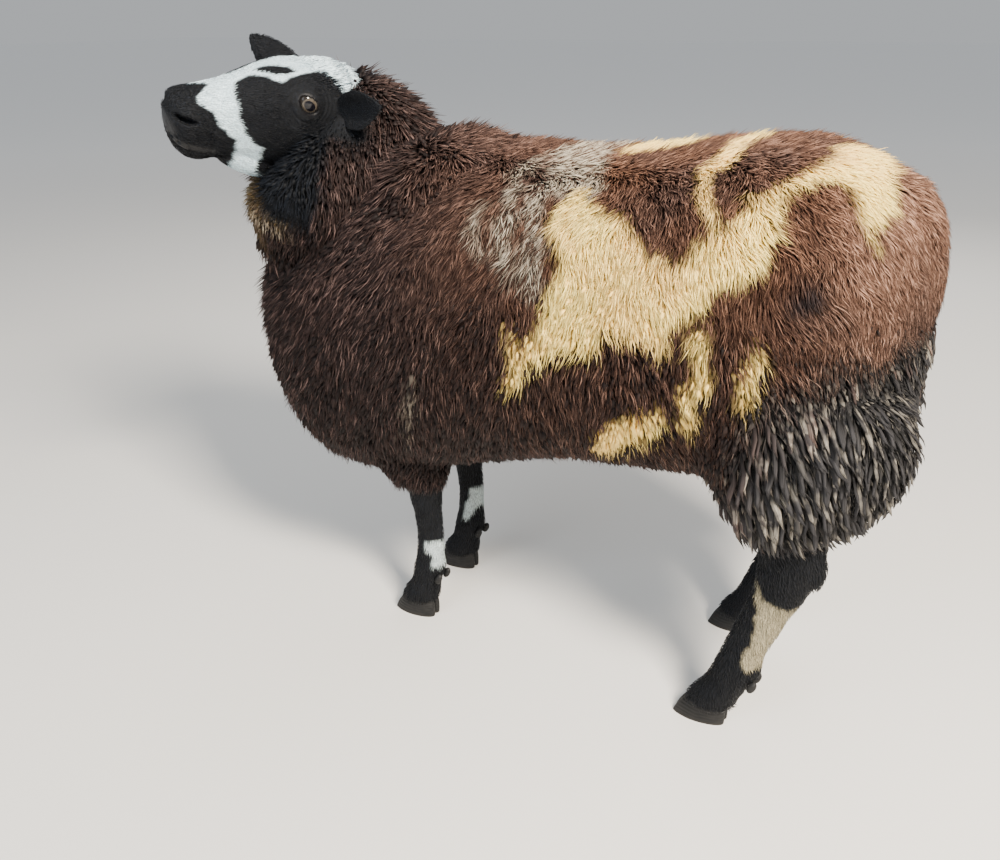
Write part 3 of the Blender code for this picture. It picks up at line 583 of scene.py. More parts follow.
def strip(name, path, around, half_out, half_up, sunk, fade):
    """A closed roll or blade along a path, that thins and sinks over a few steps at both ends."""
    rings = []
    for i, (point, out) in enumerate(path):
        up = (Vector((0.0, 0.0, 1.0)) - out * out.z).normalized()
        whole = min(1.0, min(i, len(path) - 1 - i) / fade)
        size, low = 0.25 + 0.75 * whole, sunk + half_out * 0.6 * (1 - whole)
        ring = []
        for k in range(around):
            angle = 2 * math.pi * (k + 0.5) / around
            ring.append(HEAD_TURN @ (point + out * (math.cos(angle) * half_out * size - low)
                                     + up * (math.sin(angle) * half_up * size)))
        rings.append(ring)
    return loft(name, rings)


boolean(head, "UNION", [lids(1), lids(-1), strip("lips", mouth_path(67), 20, 0.0070, 0.0070, 0.0050, 15)])
cuts = [strip("mouth_line", mouth_path(60), 8, 0.0095, 0.0023, 0.0, 12)]
cuts += [cut(side) for side in (1, -1) for cut in (eye_opening, nostril)]
boolean(head, "DIFFERENCE", cuts)
print("head with lids, nostrils and mouth", len(head.data.vertices), "points")

# %% [markdown]
# The ears are leaves, cupped along their length. They and a swell of skin under the chin are melted
# to the head, so that no seam shows at their roots.

# %% Ears, and the head melted together
EARS = {1: ((-0.042, 0.043, -0.032), (-0.0220, 0.0920, 0.0610), (-0.1, -0.6, 0.8)),
        -1: ((-0.046, -0.043, -0.032), (0.047, -0.097, 0.034), (0.7, 0.6, -0.3))}
EAR_LENGTH, EAR_ACROSS = 0.112, 16
CHIN_AT, CHIN_PITCH, CHIN_SIZE = (0.082, 0.008, -0.086), -38, (0.066, 0.028, 0.026)
EAR_SECTIONS = (                 # share of the length, half width, depth of the cup, half thickness
    (0.00, 0.012, 0.002, 0.0080), (0.12, 0.014, 0.003, 0.0070), (0.26, 0.020, 0.007, 0.0040),
    (0.42, 0.026, 0.010, 0.0030), (0.60, 0.0275, 0.010, 0.0030), (0.76, 0.023, 0.008, 0.0028),
    (0.90, 0.014, 0.004, 0.0024), (1.00, 0.004, 0.001, 0.0016))


def ear(side):
    root, aim = Vector(EARS[side][0]), Vector(EARS[side][1]).normalized()
    across = (Vector(EARS[side][2]) - aim * aim.dot(Vector(EARS[side][2]))).normalized()
    out = aim.cross(across) * side
    edge = [-1 + 2 * k / EAR_ACROSS for k in range(EAR_ACROSS + 1)]
    rings = []
    for step, width, cup, thick in along(EAR_SECTIONS, 30):
        front = [(t, cup * t * t + thick * (1 - 0.6 * t * t)) for t in edge]
        back = [(t * 0.97, cup * t * t - thick * (1 - 0.6 * t * t)) for t in reversed(edge)]
        rings.append([HEAD_TURN @ (root + aim * (EAR_LENGTH * step) + across * (t * width) + out * lift)
                      for t, lift in front + back])
    return loft("ear_form", rings)


under_chin = (Matrix.Translation(CHIN_AT) @ Matrix.Rotation(math.radians(CHIN_PITCH), 4, "Y")
              @ Matrix.Diagonal((*CHIN_SIZE, 1.0)))
throat_fold = ball("throat_fold", HEAD_TURN @ under_chin, 4)
head = melted("head_skin", [head, throat_fold, ear(1), ear(-1)], HEAD_MESH, 2)

# %% [markdown]
# Folds finish the face: three grooves in the loose skin round each eye, and small creases and ridges
# in front of it and behind the nose. They move the head's points in or out along their normals by a
# millimetre or two.

# %% Folds of the face
def read(items, key, width=1, kind=float):
    """A value of every point, face or corner of a mesh as an array."""
    found = np.zeros(len(items) * width, kind)
    items.foreach_get(key, found)
    return found.reshape(-1, width) if width > 1 else found


def in_frame(points, matrix):
    """Points in a frame's own coordinates."""
    inverse = np.array(matrix.inverted())
    return points @ inverse[:3, :3].T + inverse[:3, 3]


EYE_FOLDS = (                    # radius, half width, depth
    (0.0238, 0.0017, -0.0016), (0.0292, 0.0020, -0.0014), (0.0350, 0.0024, -0.0010))
CREASES = (                      # x, z of both ends in the head's frame, half width, depth or height
    ((0.030, 0.006), (0.026, -0.022), 0.0030, -0.0016), ((0.040, 0.004), (0.037, -0.016), 0.0026, 0.0014),
    ((0.050, 0.000), (0.046, -0.012), 0.0030, -0.0012), ((0.148, -0.004), (0.128, -0.024), 0.0030, 0.0012))


def bell(distance, width):
    return np.exp(-(distance / width) ** 2)


def fold_face(mesh):
    points, out = read(mesh.vertices, "co", 3), read(mesh.vertex_normals, "vector", 3)
    own = in_frame(points, HEAD_TURN)
    move = np.zeros(len(points))
    for side in (1, -1):
        eye = in_frame(points, eye_frame(side))
        reach = np.hypot(eye[:, 0] / 1.15, eye[:, 1])
        near = (eye[:, 2] > -0.02) & (reach < 0.05)
        for radius, width, depth in EYE_FOLDS:
            move += np.where(near, depth * bell(reach - radius, width), 0.0)
        for (x1, z1), (x2, z2), width, depth in CREASES:
            run = np.array([x2 - x1, z2 - z1])
            share = np.clip(((own[:, [0, 2]] - (x1, z1)) @ run) / (run @ run), 0, 1)
            away = np.hypot(own[:, 0] - x1 - share * run[0], own[:, 2] - z1 - share * run[1])
            move += np.where(own[:, 1] * side > 0.015, depth * bell(away, width), 0.0)
    mesh.vertices.foreach_set("co", (points + out * move[:, None]).ravel())
    mesh.update()
    print("folds move the face by", round(abs(move).max() * 1000, 1), "mm at most")


fold_face(head.data)

# %% [markdown]
# Body, head and legs are joined into one closed skin, so that it can stand for all the nodes of
# flesh at once and nothing is hidden inside it.

# %% One skin
skin = body
skin.name = skin.data.name = "skin"
head_tree = BVHTree.FromPolygons([v.co for v in head.data.vertices], [f.vertices for f in head.data.polygons])
boolean(skin, "UNION", [head, legs])
rounded(skin)
skin_points = read(skin.data.vertices, "co", 3)
skin_normals = read(skin.data.vertex_normals, "vector", 3)
skin.data.calc_loop_triangles()
print("skin", len(skin_points), "points,", len(skin.data.loop_triangles), "triangles")

# %% [markdown]
# Now the coat is planned on the skin. Each point learns whether it carries wool or short hair, how
# long the coat is there, which way it lies, and which colours it has. The patches are outlines on a
# chart of the body: x along the back, and s round the barrel from the ridge, in metres.

# %% Charts of the body and the head
BARREL_MIDDLE, BARREL_RADIUS = 0.56, 0.25
FAR_AWAY = 9.0                   # metres, more than any distance on the ram


def smooth(value, low, high):
    """0 below low, 1 above high, and a soft step between."""
    share = np.clip((value - low) / (high - low), 0, 1)
    return share * share * (3 - 2 * share)


def body_chart(points):
    return np.stack((points[:, 0], BARREL_RADIUS * np.arctan2(points[:, 1], points[:, 2] - BARREL_MIDDLE)), axis=1)


def distance_to_run(points, run):
    """Distance of chart points to a line through a few points."""
    best = np.full(len(points), FAR_AWAY)
    for a, b in zip(run, run[1:]):
        a, b = np.array(a), np.array(b)
        share = np.clip(((points - a) @ (b - a)) / max((b - a) @ (b - a), 1e-12), 0, 1)
        best = np.minimum(best, np.linalg.norm(points - a - share[:, None] * (b - a), axis=1))
    return best


def inside(points, outline):
    """How far chart points lie inside an outline, less than 0 outside."""
    crossings = np.zeros(len(points), bool)
    for (x1, y1), (x2, y2) in zip(outline, outline[1:] + outline[:1]):
        spans = (y1 > points[:, 1]) != (y2 > points[:, 1])
        at = x1 + (points[:, 1] - y1) * (x2 - x1) / ((y2 - y1) or 1e-9)
        crossings ^= spans & (points[:, 0] < at)
    away = distance_to_run(points, outline + outline[:1])
    return np.where(crossings, away, -away)


own = in_frame(skin_points, HEAD_TURN)
head_angle = np.degrees(np.arctan2(own[:, 1], own[:, 2] + 0.04))
on_head = np.array([head_tree.find_nearest(Vector(p), 0.0008)[0] is not None for p in skin_points])
print("points on the head", int(on_head.sum()))

# %% Where wool gives way to short hair
WOOL_STARTS = ((0, 40, 60, 90, 120, 150, 180), (-0.080, -0.072, -0.058, -0.030, 0.020, 0.052, 0.058))
FORE_WOOL_ENDS, HIND_WOOL_ENDS = (0.236, 0.262), (0.312, 0.336)      # heights on the legs


def wool_share(points):
    """1 on the fleece, 0 on the short hair of the face, ears and lower legs."""
    wool = np.ones(len(points))
    start = np.interp(abs(head_angle), *WOOL_STARTS)
    wool[on_head] = smooth(start - own[:, 0], -0.012, 0.022)[on_head]
    ears = on_head & ((abs(own[:, 1]) > 0.062) | (own[:, 2] > 0.045))
    wool[ears] = 0.0
    wool *= np.where(points[:, 0] > 0, smooth(points[:, 2], *FORE_WOOL_ENDS), smooth(points[:, 2], *HIND_WOOL_ENDS))
    return wool


wool = wool_share(skin_points)
print("share of the skin's points under wool", round(float(wool.mean()), 2))

# %% [markdown]
# The left side's patches were read off the ram as outlines. The right side isn't seen, so it gets
# patches of the same breed's kind: one broad saddle, a loin spot and cream over the rump.

# %% Patches of cream, grey and dirt
CREAM_LEFT = (
    [(-0.047, 0.212), (-0.065, 0.258), (-0.072, 0.288), (-0.067, 0.332), (-0.055, 0.372), (-0.034, 0.416),
     (-0.012, 0.456), (-0.055, 0.430), (-0.090, 0.414), (-0.131, 0.401), (-0.151, 0.378), (-0.196, 0.379),
     (-0.221, 0.395), (-0.225, 0.349), (-0.253, 0.327), (-0.278, 0.289), (-0.298, 0.286), (-0.318, 0.265),
     (-0.328, 0.245), (-0.338, 0.225), (-0.332, 0.196), (-0.319, 0.165), (-0.306, 0.182), (-0.283, 0.205),
     (-0.264, 0.220), (-0.249, 0.234), (-0.243, 0.258), (-0.221, 0.284), (-0.194, 0.258), (-0.162, 0.231),
     (-0.138, 0.213), (-0.107, 0.202), (-0.066, 0.165), (-0.055, 0.190)],
    [(-0.080, 0.060), (-0.125, 0.054), (-0.165, 0.040), (-0.170, -0.050), (-0.085, -0.060)],
    [(-0.232, -0.060), (-0.236, 0.012), (-0.227, 0.063), (-0.221, 0.119), (-0.227, 0.164), (-0.240, 0.198),
     (-0.255, 0.217), (-0.266, 0.216), (-0.252, 0.190), (-0.241, 0.162), (-0.241, 0.124), (-0.248, 0.084),
     (-0.258, 0.012), (-0.255, -0.060)],
    [(-0.342, 0.132), (-0.346, 0.112), (-0.352, 0.091), (-0.356, 0.050), (-0.364, 0.000), (-0.385, -0.070),
     (-0.412, -0.060), (-0.420, 0.000), (-0.430, 0.050), (-0.436, 0.100), (-0.434, 0.140), (-0.428, 0.196),
     (-0.420, 0.170), (-0.406, 0.146), (-0.391, 0.130), (-0.377, 0.120), (-0.355, 0.128)],
    [(-0.117, 0.543), (-0.165, 0.506), (-0.213, 0.492), (-0.208, 0.532), (-0.150, 0.580), (-0.106, 0.596)])
CREAM_RIGHT = (
    [(0.060, -0.170), (0.090, -0.240), (0.070, -0.330), (0.000, -0.400), (-0.080, -0.430), (-0.130, -0.370),
     (-0.200, -0.330), (-0.240, -0.270), (-0.220, -0.200), (-0.160, -0.190), (-0.120, -0.230), (-0.070, -0.220),
     (-0.040, -0.150), (0.010, -0.120)],
    [(-0.300, -0.120), (-0.330, -0.210), (-0.380, -0.260), (-0.430, -0.230), (-0.440, -0.140), (-0.400, -0.080),
     (-0.340, -0.080)],
    [(0.240, -0.380), (0.280, -0.430), (0.250, -0.500), (0.200, -0.470), (0.200, -0.410)])
GREY = ([(0.018, 0.076), (0.020, -0.060), (-0.060, -0.070), (-0.061, 0.071), (-0.090, 0.137), (-0.093, 0.181),
         (-0.073, 0.182), (-0.055, 0.190), (-0.028, 0.175)],)
GREY_STREAKS = (                 # points of a line, and its half width
    ([(0.063, 0.205), (0.059, 0.247), (0.040, 0.285)], 0.009),
    ([(0.036, 0.100), (0.024, 0.193), (0.017, 0.251), (-0.006, 0.305)], 0.013),
    ([(-0.016, 0.140), (-0.018, 0.207), (-0.027, 0.261), (-0.045, 0.322)], 0.016),
    ([(0.145, 0.500), (0.165, 0.550), (0.200, 0.600)], 0.008))
CREAM_STREAKS = (
    ([(-0.262, 0.363), (-0.270, 0.394), (-0.259, 0.437), (-0.255, 0.484), (-0.246, 0.504)], 0.011),
    ([(-0.300, 0.170), (-0.325, 0.148), (-0.350, 0.128)], 0.011),
    ([(-0.324, 0.367), (-0.331, 0.399), (-0.325, 0.443), (-0.314, 0.465)], 0.011),
    ([(-0.015, 0.391), (-0.024, 0.430), (-0.010, 0.478)], 0.009))
DIRT = [(-0.270, 0.640), (-0.298, 0.536), (-0.316, 0.483), (-0.342, 0.445), (-0.373, 0.425), (-0.414, 0.408),
        (-0.461, 0.380), (-0.504, 0.340), (-0.640, 0.340), (-0.640, 0.800), (-0.270, 0.800)]
DARK_SPOT, SPOT_SIZE = (-0.376, 0.286), 0.026
EDGE = 0.010                     # how softly one colour runs into the next
HANGS_FORWARD = ((-0.50, -0.25, 0.10, 0.40), (-0.45, -0.25, 0.10, 0.20))     # along the body
TIP_REACH = 0.020                # how far along the coat its tips lie from their roots


def wobbled(chart):
    """A chart with its lines made to waver, so that no patch has a ruled edge."""
    x, s = chart[:, 0], chart[:, 1]
    return np.stack((x + 0.005 * np.sin(61 * s + 3 * np.sin(23 * x)) + 0.003 * np.sin(143 * s + 90 * x),
                     s + 0.005 * np.sin(57 * x + 2 * np.sin(31 * s)) + 0.003 * np.sin(131 * x - 80 * s)), axis=1)


def patch_share(chart, outlines, streaks=()):
    found = np.zeros(len(chart))
    for outline in outlines:
        found = np.maximum(found, smooth(inside(chart, outline), -EDGE / 2, EDGE / 2))
    for run, width in streaks:
        found = np.maximum(found, 1 - smooth(distance_to_run(chart, run), width - EDGE, width + EDGE / 3))
    return found


def lie_of(points, out):
    """The way the coat lies: it hangs, forward of the shoulder a little forwards and behind it back."""
    hang = np.zeros_like(points)
    hang[:, 0] = np.interp(points[:, 0], *HANGS_FORWARD)
    hang[:, 2] = -1.0
    turn = np.array(HEAD_TURN)[:3, :3]
    face = np.broadcast_to(turn @ np.array((-1.0, 0.0, -0.25)), points.shape)
    hang = np.where((on_head & (wool < 0.5))[:, None], face, hang)
    hang -= out * (hang * out).sum(1)[:, None]
    back = np.array((-1.0, 0.0, 0.0)) - out * -out[:, :1]
    steep = smooth(np.linalg.norm(hang, axis=1), 0.05, 0.60)[:, None]
    hang = hang * steep + 0.5 * back * (1 - steep)
    hang /= np.linalg.norm(hang, axis=1)[:, None]
    x, y, z = points.T
    broad = 0.22 * np.sin(38 * x + 17 * z + 2 * np.sin(21 * z - 9 * y))
    fine = 0.20 * np.sin(95 * z - 61 * x + 2 * np.sin(47 * x + 30 * y))
    sweep = ((broad + fine) * wool)[:, None]
    return hang * np.cos(sweep) + np.cross(out, hang) * np.sin(sweep)


lie = lie_of(skin_points, skin_normals)
chart = wobbled(body_chart(skin_points + lie * TIP_REACH * wool[:, None]))
cream = patch_share(chart, CREAM_LEFT + CREAM_RIGHT, CREAM_STREAKS)
grey = patch_share(chart, GREY, GREY_STREAKS)
either_side = np.stack((chart[:, 0], abs(chart[:, 1])), axis=1)
uneven = 0.014 * np.sin(75 * skin_points[:, 1] + 2 * np.sin(40 * skin_points[:, 0]))
dirt = smooth(inside(either_side, DIRT) + uneven, -0.030, 0.070)
spot = 0.8 - 0.8 * smooth(np.linalg.norm(chart - DARK_SPOT, axis=1), SPOT_SIZE - 2 * EDGE, SPOT_SIZE + EDGE)
print("shares of cream, grey and dirt", [round(float(mark.mean()), 3) for mark in (cream, grey, dirt)])

# %% [markdown]
# The face is black with a white ring behind the nose and a white blaze up to the poll that runs round
# a black lens. The ring's edges are given by how far forward they lie at each angle round the head.

# %% Black and white of the face, neck and legs
RING_FRONT = ((0, 12, 19, 30, 51, 77, 116, 180), (0.124, 0.146, 0.147, 0.134, 0.126, 0.110, 0.112, 0.122))
RING_REAR = ((0, 28, 57, 88, 104, 136, 151, 180), (0.090, 0.099, 0.099, 0.089, 0.075, 0.077, 0.084, 0.076))
BLAZE_AT = (-0.085, -0.070, -0.057, -0.042, -0.034, 0.011, 0.030, 0.047, 0.068, 0.100)
BLAZE_LEFT, BLAZE_RIGHT = (30, 40, 51, 29, 14, 18, 23, 11, 3, 8), (30, 40, 50, 36, 30, 30, 27, 22, 15, 12)
LENS = [(0.058, -3.0), (0.040, -6.0), (0.025, -5.0), (0.010, 1.0), (0.002, 12.0), (0.018, 13.0),
        (0.034, 11.0), (0.048, 4.0)]
DEGREE = 0.0013                  # metres round the head for each degree
HAIR_EDGE = 0.0025               # how softly black runs into white on the face
LEG_WHITES = (                   # foot, then x, z outlines of white on its outer side
    ("hind_left", [(-0.064, 0.252), (-0.078, 0.226), (-0.112, 0.214), (-0.150, 0.222), (-0.150, 0.170),
                   (-0.110, 0.120), (-0.068, 0.106), (-0.056, 0.120), (-0.070, 0.160), (-0.072, 0.200)]),
    ("fore_left", [(-0.070, 0.148), (-0.030, 0.146), (-0.034, 0.132), (-0.043, 0.118), (-0.044, 0.100),
                   (-0.070, 0.098)]),
    ("fore_right", [(-0.070, 0.170), (-0.040, 0.166), (-0.034, 0.144), (-0.025, 0.120), (-0.027, 0.106),
                    (-0.038, 0.106), (-0.043, 0.126), (-0.070, 0.140)]),
    ("hind_right", [(-0.170, 0.200), (-0.090, 0.190), (-0.086, 0.150), (-0.160, 0.150)]))


def face_white():
    x = own[:, 0] + 0.0015 * np.sin(head_angle / 4.0)
    angle = abs(head_angle)
    front, rear = np.interp(angle, *RING_FRONT) - x, x - np.interp(angle, *RING_REAR)
    ring = smooth(front, -HAIR_EDGE, HAIR_EDGE) * smooth(rear, -HAIR_EDGE, HAIR_EDGE)
    half = np.where(head_angle > 0, np.interp(x, BLAZE_AT, BLAZE_LEFT), np.interp(x, BLAZE_AT, BLAZE_RIGHT))
    blaze = smooth((half - angle) * DEGREE, -HAIR_EDGE, HAIR_EDGE)
    blaze = blaze * smooth(0.115 - x, 0, 0.004) * smooth(x, -0.098, -0.080)
    lens_outline = [(x, a * DEGREE) for x, a in LENS]
    dark = smooth(inside(np.stack((x, head_angle * DEGREE), axis=1), lens_outline), -0.0015, 0.0015)
    return np.maximum(ring, blaze) * (1 - dark) * on_head


def leg_white(points):
    found = np.zeros(len(points))
    for foot, outline in LEG_WHITES:
        at = np.array(FEET[foot])
        near = (np.linalg.norm(points[:, :2] - at, axis=1) < 0.19) & (points[:, 2] < 0.27) & (points[:, 1] * at[1] > 0)
        chart_here = points[:, [0, 2]] - (at[0], 0)
        chart_here[:, 0] += 0.002 * np.sin(220 * points[:, 2])
        found = np.maximum(found, np.where(near, smooth(inside(chart_here, outline), -0.002, 0.002), 0))
    return found * (1 - wool)


def distance_to_ears():
    """Distance of the skin's points to the middle line of the nearer ear."""
    best = np.full(len(own), FAR_AWAY)
    for root, aim, _ in EARS.values():
        run = np.array(Vector(aim).normalized()) * EAR_LENGTH
        share = np.clip((own - root) @ run / (run @ run), 0.15, 1)
        best = np.minimum(best, np.linalg.norm(own - root - share[:, None] * run, axis=1))
    return best


on_ears = on_head & ((abs(own[:, 1]) > 0.058) | (own[:, 2] > 0.042))
ahead, aside, up = own[:, 0], abs(own[:, 1]), own[:, 2]
on_neck = smooth(skin_points[:, 2], 0.60, 0.63) * smooth(up, -0.22, -0.20)
under_jaw = on_neck * smooth(-up, 0.100, 0.112) * smooth(ahead, 0.030, 0.055)
jaw_black = smooth(ahead + 0.057 - 1.15 * (aside - 0.046), -0.010, 0.010) * smooth(up, -0.150, -0.138) * on_neck
ring_below = on_head * under_jaw * smooth(0.040 - own[:, 1], -0.010, 0.010) * smooth(up, -0.158, -0.142)
ring_below = ring_below * smooth(0.128 - ahead, 0, 0.006) * smooth(ahead, 0.072, 0.082)
throat = under_jaw * smooth(-up, 0.124, 0.136) * smooth(0.066 - aside, -0.008, 0.012)
stripe = bell(up + 0.152, 0.005) * smooth(ahead, 0.050, 0.065) * smooth(0.115 - aside, 0, 0.02) * on_neck
throat = np.maximum(throat, stripe) * (1 - ring_below)
white = np.maximum(np.maximum(face_white() * ~on_ears, leg_white(skin_points)), ring_below)
by_ear = on_neck * smooth(0.050 - distance_to_ears(), 0.0, 0.014) * smooth(ahead, -0.070, -0.058)
by_ear = by_ear * smooth(0.010 - up, 0, 0.020)
black = np.maximum.reduce([jaw_black, 1 - wool, spot, by_ear]) * (1 - throat)
cream, grey = np.maximum(cream * (1 - black), throat * 0.05), np.maximum(grey, stripe * (1 - ring_below))
print("white points", int((white > 0.5).sum()))

# %% [markdown]
# Bare skin shows on the nose between the nostrils, on the lips and on the rims of the lids. Nothing
# grows there, and it is darker and shines a little. Elsewhere the coat gets a length in metres and a
# lean, and shares that say where plush wool, locks, clotted wool and hair grow.

# %% Bare places, and the length of the coat
FLEECE_LENGTHS = ((-0.49, -0.42, -0.30, 0.0, 0.30, 0.45), (0.018, 0.028, 0.036, 0.037, 0.043, 0.046))
FACE_HAIR, POLL_HAIR, LEG_HAIR, EAR_HAIR = 0.0070, 0.015, 0.0095, 0.007
HAIR_LEAN = 2.6


def bare_share():
    nose = 1 - smooth(np.linalg.norm((own - (0.184, 0.0, -0.004)) / (1.0, 1.5, 1.0), axis=1), 0.012, 0.020)
    rims = np.zeros(len(own))
    for side in (1, -1):
        eye = in_frame(skin_points, eye_frame(side))
        reach = np.hypot(eye[:, 0] / 1.35, eye[:, 1])
        rims = np.maximum(rims, np.where(eye[:, 2] > 0, 1 - smooth(reach, 0.0125, 0.0155), 0))
    run = np.array([tuple(point) for point, _ in mouth_path(41)])[::2]
    lips = 1 - smooth(np.min(np.linalg.norm(own[:, None] - run[None], axis=2), axis=1), 0.0040, 0.0075)
    return np.maximum(np.maximum(nose, rims), lips) * on_head


def distance_to_eyes():
    return np.minimum(*(np.linalg.norm(in_frame(skin_points, eye_frame(side))[:, :2], axis=1) for side in (1, -1)))


bare = bare_share()
x_along, height, around = skin_points[:, 0], skin_points[:, 2], abs(chart[:, 1])
fleece_length = np.interp(x_along, *FLEECE_LENGTHS)
fleece_length = fleece_length * (1 - 0.20 * jaw_black) * (1 - 0.45 * under_jaw) * (1 - 0.45 * on_head)
fleece_length = fleece_length * (0.30 + 0.70 * smooth(distance_to_ears(), 0.022, 0.060))
thin_behind, thin_ahead = 0.55 + 0.45 * smooth(height, 0.32, 0.40), 0.60 + 0.40 * smooth(height, 0.25, 0.34)
fleece_length = fleece_length * np.where(x_along < 0, thin_behind, thin_ahead)
poll_length = POLL_HAIR * smooth(-own[:, 0], -0.010, 0.060) * smooth(60 - abs(head_angle), 0, 25)
hair_length = np.where(on_head, FACE_HAIR + poll_length, LEG_HAIR)
hair_length = np.where(on_ears, EAR_HAIR, hair_length * (0.5 + 0.5 * smooth(distance_to_eyes(), 0.020, 0.045)))
coat_length = wool * fleece_length + (1 - wool) * hair_length
fleece_lean = 0.85 + 0.60 * smooth(-height, -0.62, -0.40) + 0.5 * smooth(-x_along, 0.38, 0.46) + 1.2 * on_head
coat_lean = wool * fleece_lean + (1 - wool) * HAIR_LEAN
locky = np.maximum(smooth(x_along, 0.08, 0.24), smooth(around, 0.30, 0.42))
SHARES = {"plush_share": wool * (1 - locky), "lock_share": smooth(wool, 0.25, 0.8) * locky * (1 - 0.5 * dirt),
          "dirt_share": smooth(dirt * wool, 0.45, 0.95),
          "hair_share": smooth(1 - wool, 0.2, 0.7) * (1 - smooth(bare, 0.1, 0.6))}
dirt_share, hair_share = SHARES["dirt_share"], SHARES["hair_share"]


def give(mesh, name, kind, values):
    """Stores values on a mesh's points under a name."""
    layer = mesh.attributes.new(name, kind, "POINT")
    flat = np.ascontiguousarray(values, dtype=np.float32).ravel()
    layer.data.foreach_set("value" if kind == "FLOAT" else "vector", flat)


for name, share in SHARES.items():
    give(skin.data, name, "FLOAT", share)
give(skin.data, "wool_marks", "FLOAT_VECTOR", np.stack((cream, grey, dirt * wool), axis=1))
give(skin.data, "hair_marks", "FLOAT_VECTOR", np.stack((black, white, bare), axis=1))
give(skin.data, "lie", "FLOAT_VECTOR", lie)
give(skin.data, "coat_length", "FLOAT", coat_length)
give(skin.data, "coat_lean", "FLOAT", coat_lean)

# %% [markdown]
# One colour recipe serves the skin and every tuft, so their markings agree. It is a node group: it
# takes the marks, how far along a tuft the point lies and a random shade, and gives a colour. Wool is
# dark at the root and light at the tip; the dark roots are partly painted shade deep in the coat, which
# is what gives a fleece its depth.

# %% The coat's colours
def group_with(name, kind, inputs, outputs):
    """A node group whose sockets are given as kinds with their labels, and the parts to wire it with."""
    tree = bpy.data.node_groups.new(name, kind)
    for way, sockets in (("INPUT", inputs), ("OUTPUT", outputs)):
        for socket, labels in sockets:
            for label in labels.split(", "):
                tree.interface.new_socket(label, in_out=way, socket_type="NodeSocket" + socket)
    return tree, Wiring(tree), tree.nodes.new("NodeGroupInput").outputs, tree.nodes.new("NodeGroupOutput").inputs


# Dark colours at the root are partly painted shade deep in the coat.
BROWN_ROOT, BROWN_MID, BROWN_TIP = (0.0040, 0.0024, 0.0024, 1), (0.019, 0.0110, 0.0100, 1), (0.145, 0.092, 0.082, 1)
RUST_MID, RUST_TIP = (0.046, 0.0190, 0.0110, 1), (0.28, 0.140, 0.084, 1)
# The rump's lighter colours are partly its own rusty wool and partly painted sunlight.
RUMP_MID, RUMP_TIP = (0.140, 0.069, 0.045, 1), (0.68, 0.40, 0.28, 1)
CREAM_ROOT, CREAM_DULL, CREAM_TIP = (0.86, 0.56, 0.15, 1), (0.88, 0.62, 0.22, 1), (0.98, 0.77, 0.25, 1)
GREY_ROOT, GREY_TIP = (0.040, 0.028, 0.022, 1), (0.43, 0.375, 0.295, 1)
DIRT_ROOT, DIRT_DARK, DIRT_TIP = (0.006, 0.0058, 0.0060, 1), (0.025, 0.0240, 0.0255, 1), (0.24, 0.215, 0.178, 1)
# The bluish cast of the black and white tips is partly painted cool shade light and bluish sheen.
BLACK_ROOT, BLACK_TIP = (0.0026, 0.0030, 0.0040, 1), (0.0080, 0.0105, 0.0165, 1)
WHITE_ROOT, WHITE_TIP = (0.40, 0.50, 0.56, 1), (0.74, 0.91, 0.99, 1)
WARM_ROOT, WARM_TIP = (0.20, 0.172, 0.108, 1), (0.36, 0.318, 0.212, 1)
BARE_SKIN, COAT_ROUGH, BARE_GLOSS = (0.0050, 0.0050, 0.0062, 1), 0.86, 0.52
SHADE_SHIFT = 0.30               # how far a tuft's own shade moves it towards the root's or tip's colour


